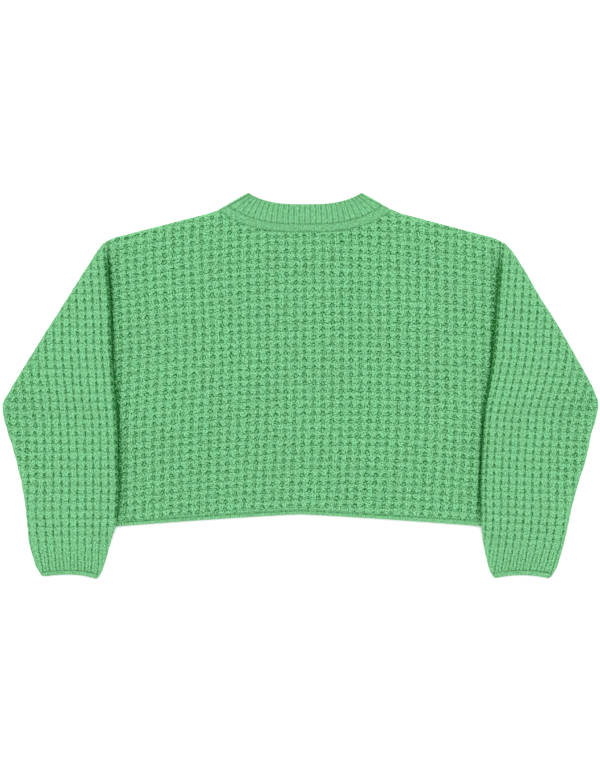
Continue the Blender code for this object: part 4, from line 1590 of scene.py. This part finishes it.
class SWEATER_OT_sleeves(bpy.types.Operator):
    """Build both folded sleeves, with their cuff edgings"""

    bl_idname = "sweater.sleeves"
    bl_label = "Sleeves"

    def execute(self, context):
        knit = context.scene.sweater_knit
        waffle = yarn_material("knitted_waffle", waffle_pattern)
        plain = yarn_material("knitted_plain", plain_pattern)
        for side in SIDES:
            sleeve = add_sleeve(side, knit.sleeve_column, knit.sleeve_row)
            raise_relief(sleeve, waffle)
            finished(sleeve, f"sleeve_{side}")
            cuff = add_cuff(side)
            cuff.data.materials.append(plain)
            finished(cuff, f"cuff_{side}")
        return {"FINISHED"}


class SWEATER_OT_neck(bpy.types.Operator):
    """Build the ribbed neckband and its plain edging"""

    bl_idname = "sweater.neck"
    bl_label = "Neck"

    def execute(self, context):
        knit = context.scene.sweater_knit
        band = add_neckband(knit.rib_groove)
        band.data.materials.append(yarn_material("knitted_ribs", rib_pattern))
        finished(band, "neckband")
        edging = add_neck_edging()
        edging.data.materials.append(yarn_material("knitted_plain", plain_pattern))
        finished(edging, "neck_edging")
        return {"FINISHED"}


class SWEATER_OT_linking(bpy.types.Operator):
    """Build the linking stitches along the edgings"""

    bl_idname = "sweater.linking"
    bl_label = "Linking stitches"

    def execute(self, context):
        add_linking("neck_linking", [neck_seam(*seam) for seam in NECK_SEAMS])
        add_linking("hem_linking", [hem_seam(BACK_BOTTOM + HEM_SEAM_LEVEL)])
        add_linking("cuff_linking", [cuff_seam(side) for side in SIDES])
        return {"FINISHED"}


class SWEATER_OT_stage(bpy.types.Operator):
    """Build the floor, light and camera"""

    bl_idname = "sweater.stage"
    bl_label = "Stage"

    def execute(self, context):
        stage = context.scene.sweater_stage
        mesh = bpy.data.meshes.new("floor")
        corners = [(-1, -1), (1, -1), (1, 1), (-1, 1)]
        mesh.from_pydata([(FLOOR_HALF * x, FLOOR_HALF * y, FLOOR_LEVEL) for x, y in corners],
                         [], [(0, 1, 2, 3)])
        floor = placed("floor", mesh)
        paint = bpy.data.materials.new("pale_floor")
        paint.use_nodes = True
        fill(paint.node_tree, paint.node_tree.nodes["Principled BSDF"].inputs, {
            "Base Color": (*stage.floor, 1.0),
            "Roughness": 0.9,
            "Specular IOR Level": 0.1,
        })
        mesh.materials.append(paint)
        lamp = bpy.data.lights.new("overhead", "AREA")
        lamp.shape = "SQUARE"
        lamp.size = LAMP_SIZE
        lamp.energy = stage.light_power
        overhead = placed("overhead", lamp)
        overhead.location = LAMP_PLACE
        overhead.rotation_euler = (-np.arctan2(*LAMP_PLACE[1:]), 0.0, 0.0)
        world = bpy.data.worlds.new("surround")
        world.use_nodes = True
        fill(world.node_tree, world.node_tree.nodes["Background"].inputs,
             {"Color": WHITE, "Strength": stage.surround})
        context.scene.world = world
        context.scene.view_settings.view_transform = "Standard"
        lens = bpy.data.cameras.new("camera")
        lens.lens = stage.lens
        lens.sensor_fit = "AUTO"
        lens.sensor_width = SENSOR
        camera = placed("camera", lens)
        distance = stage.view_height * stage.lens / SENSOR
        camera.location = (AIM[0], AIM[1], distance + AIM[2])
        context.scene.camera = camera
        return {"FINISHED"}


class SWEATER_PT_pieces(bpy.types.Panel):
    """Pieces of the sweater"""

    bl_label = "Sweater"
    bl_idname = "SWEATER_PT_pieces"
    bl_space_type = "VIEW_3D"
    bl_region_type = "UI"
    bl_category = "Sweater"

    def draw(self, context):
        for group in ("sweater_knit", "sweater_yarn", "sweater_stage"):
            settings = getattr(context.scene, group)
            box = self.layout.box()
            for name in settings.__annotations__:
                box.prop(settings, name)
        for piece in OPERATORS:
            self.layout.operator(piece.bl_idname)


GROUPS = {
    "sweater_knit": SweaterKnit,
    "sweater_yarn": SweaterYarn,
    "sweater_stage": SweaterStage,
}
OPERATORS = (
    SWEATER_OT_body,
    SWEATER_OT_sleeves,
    SWEATER_OT_neck,
    SWEATER_OT_linking,
    SWEATER_OT_stage,
)


def register():
    """Add the sweater's settings, operators and panel."""
    for name, group in GROUPS.items():
        bpy.utils.register_class(group)
        setattr(bpy.types.Scene, name, bpy.props.PointerProperty(type=group))
    for piece in (*OPERATORS, SWEATER_PT_pieces):
        bpy.utils.register_class(piece)


def unregister():
    """Remove them again."""
    for piece in (SWEATER_PT_pieces, *reversed(OPERATORS)):
        bpy.utils.unregister_class(piece)
    for name, group in reversed(GROUPS.items()):
        delattr(bpy.types.Scene, name)
        bpy.utils.unregister_class(group)


def main():
    """Build the whole sweater and its stage."""
    register()
    bpy.ops.sweater.body()
    bpy.ops.sweater.sleeves()
    bpy.ops.sweater.neck()
    bpy.ops.sweater.linking()
    bpy.ops.sweater.stage()


if __name__ == "__main__":
    main()
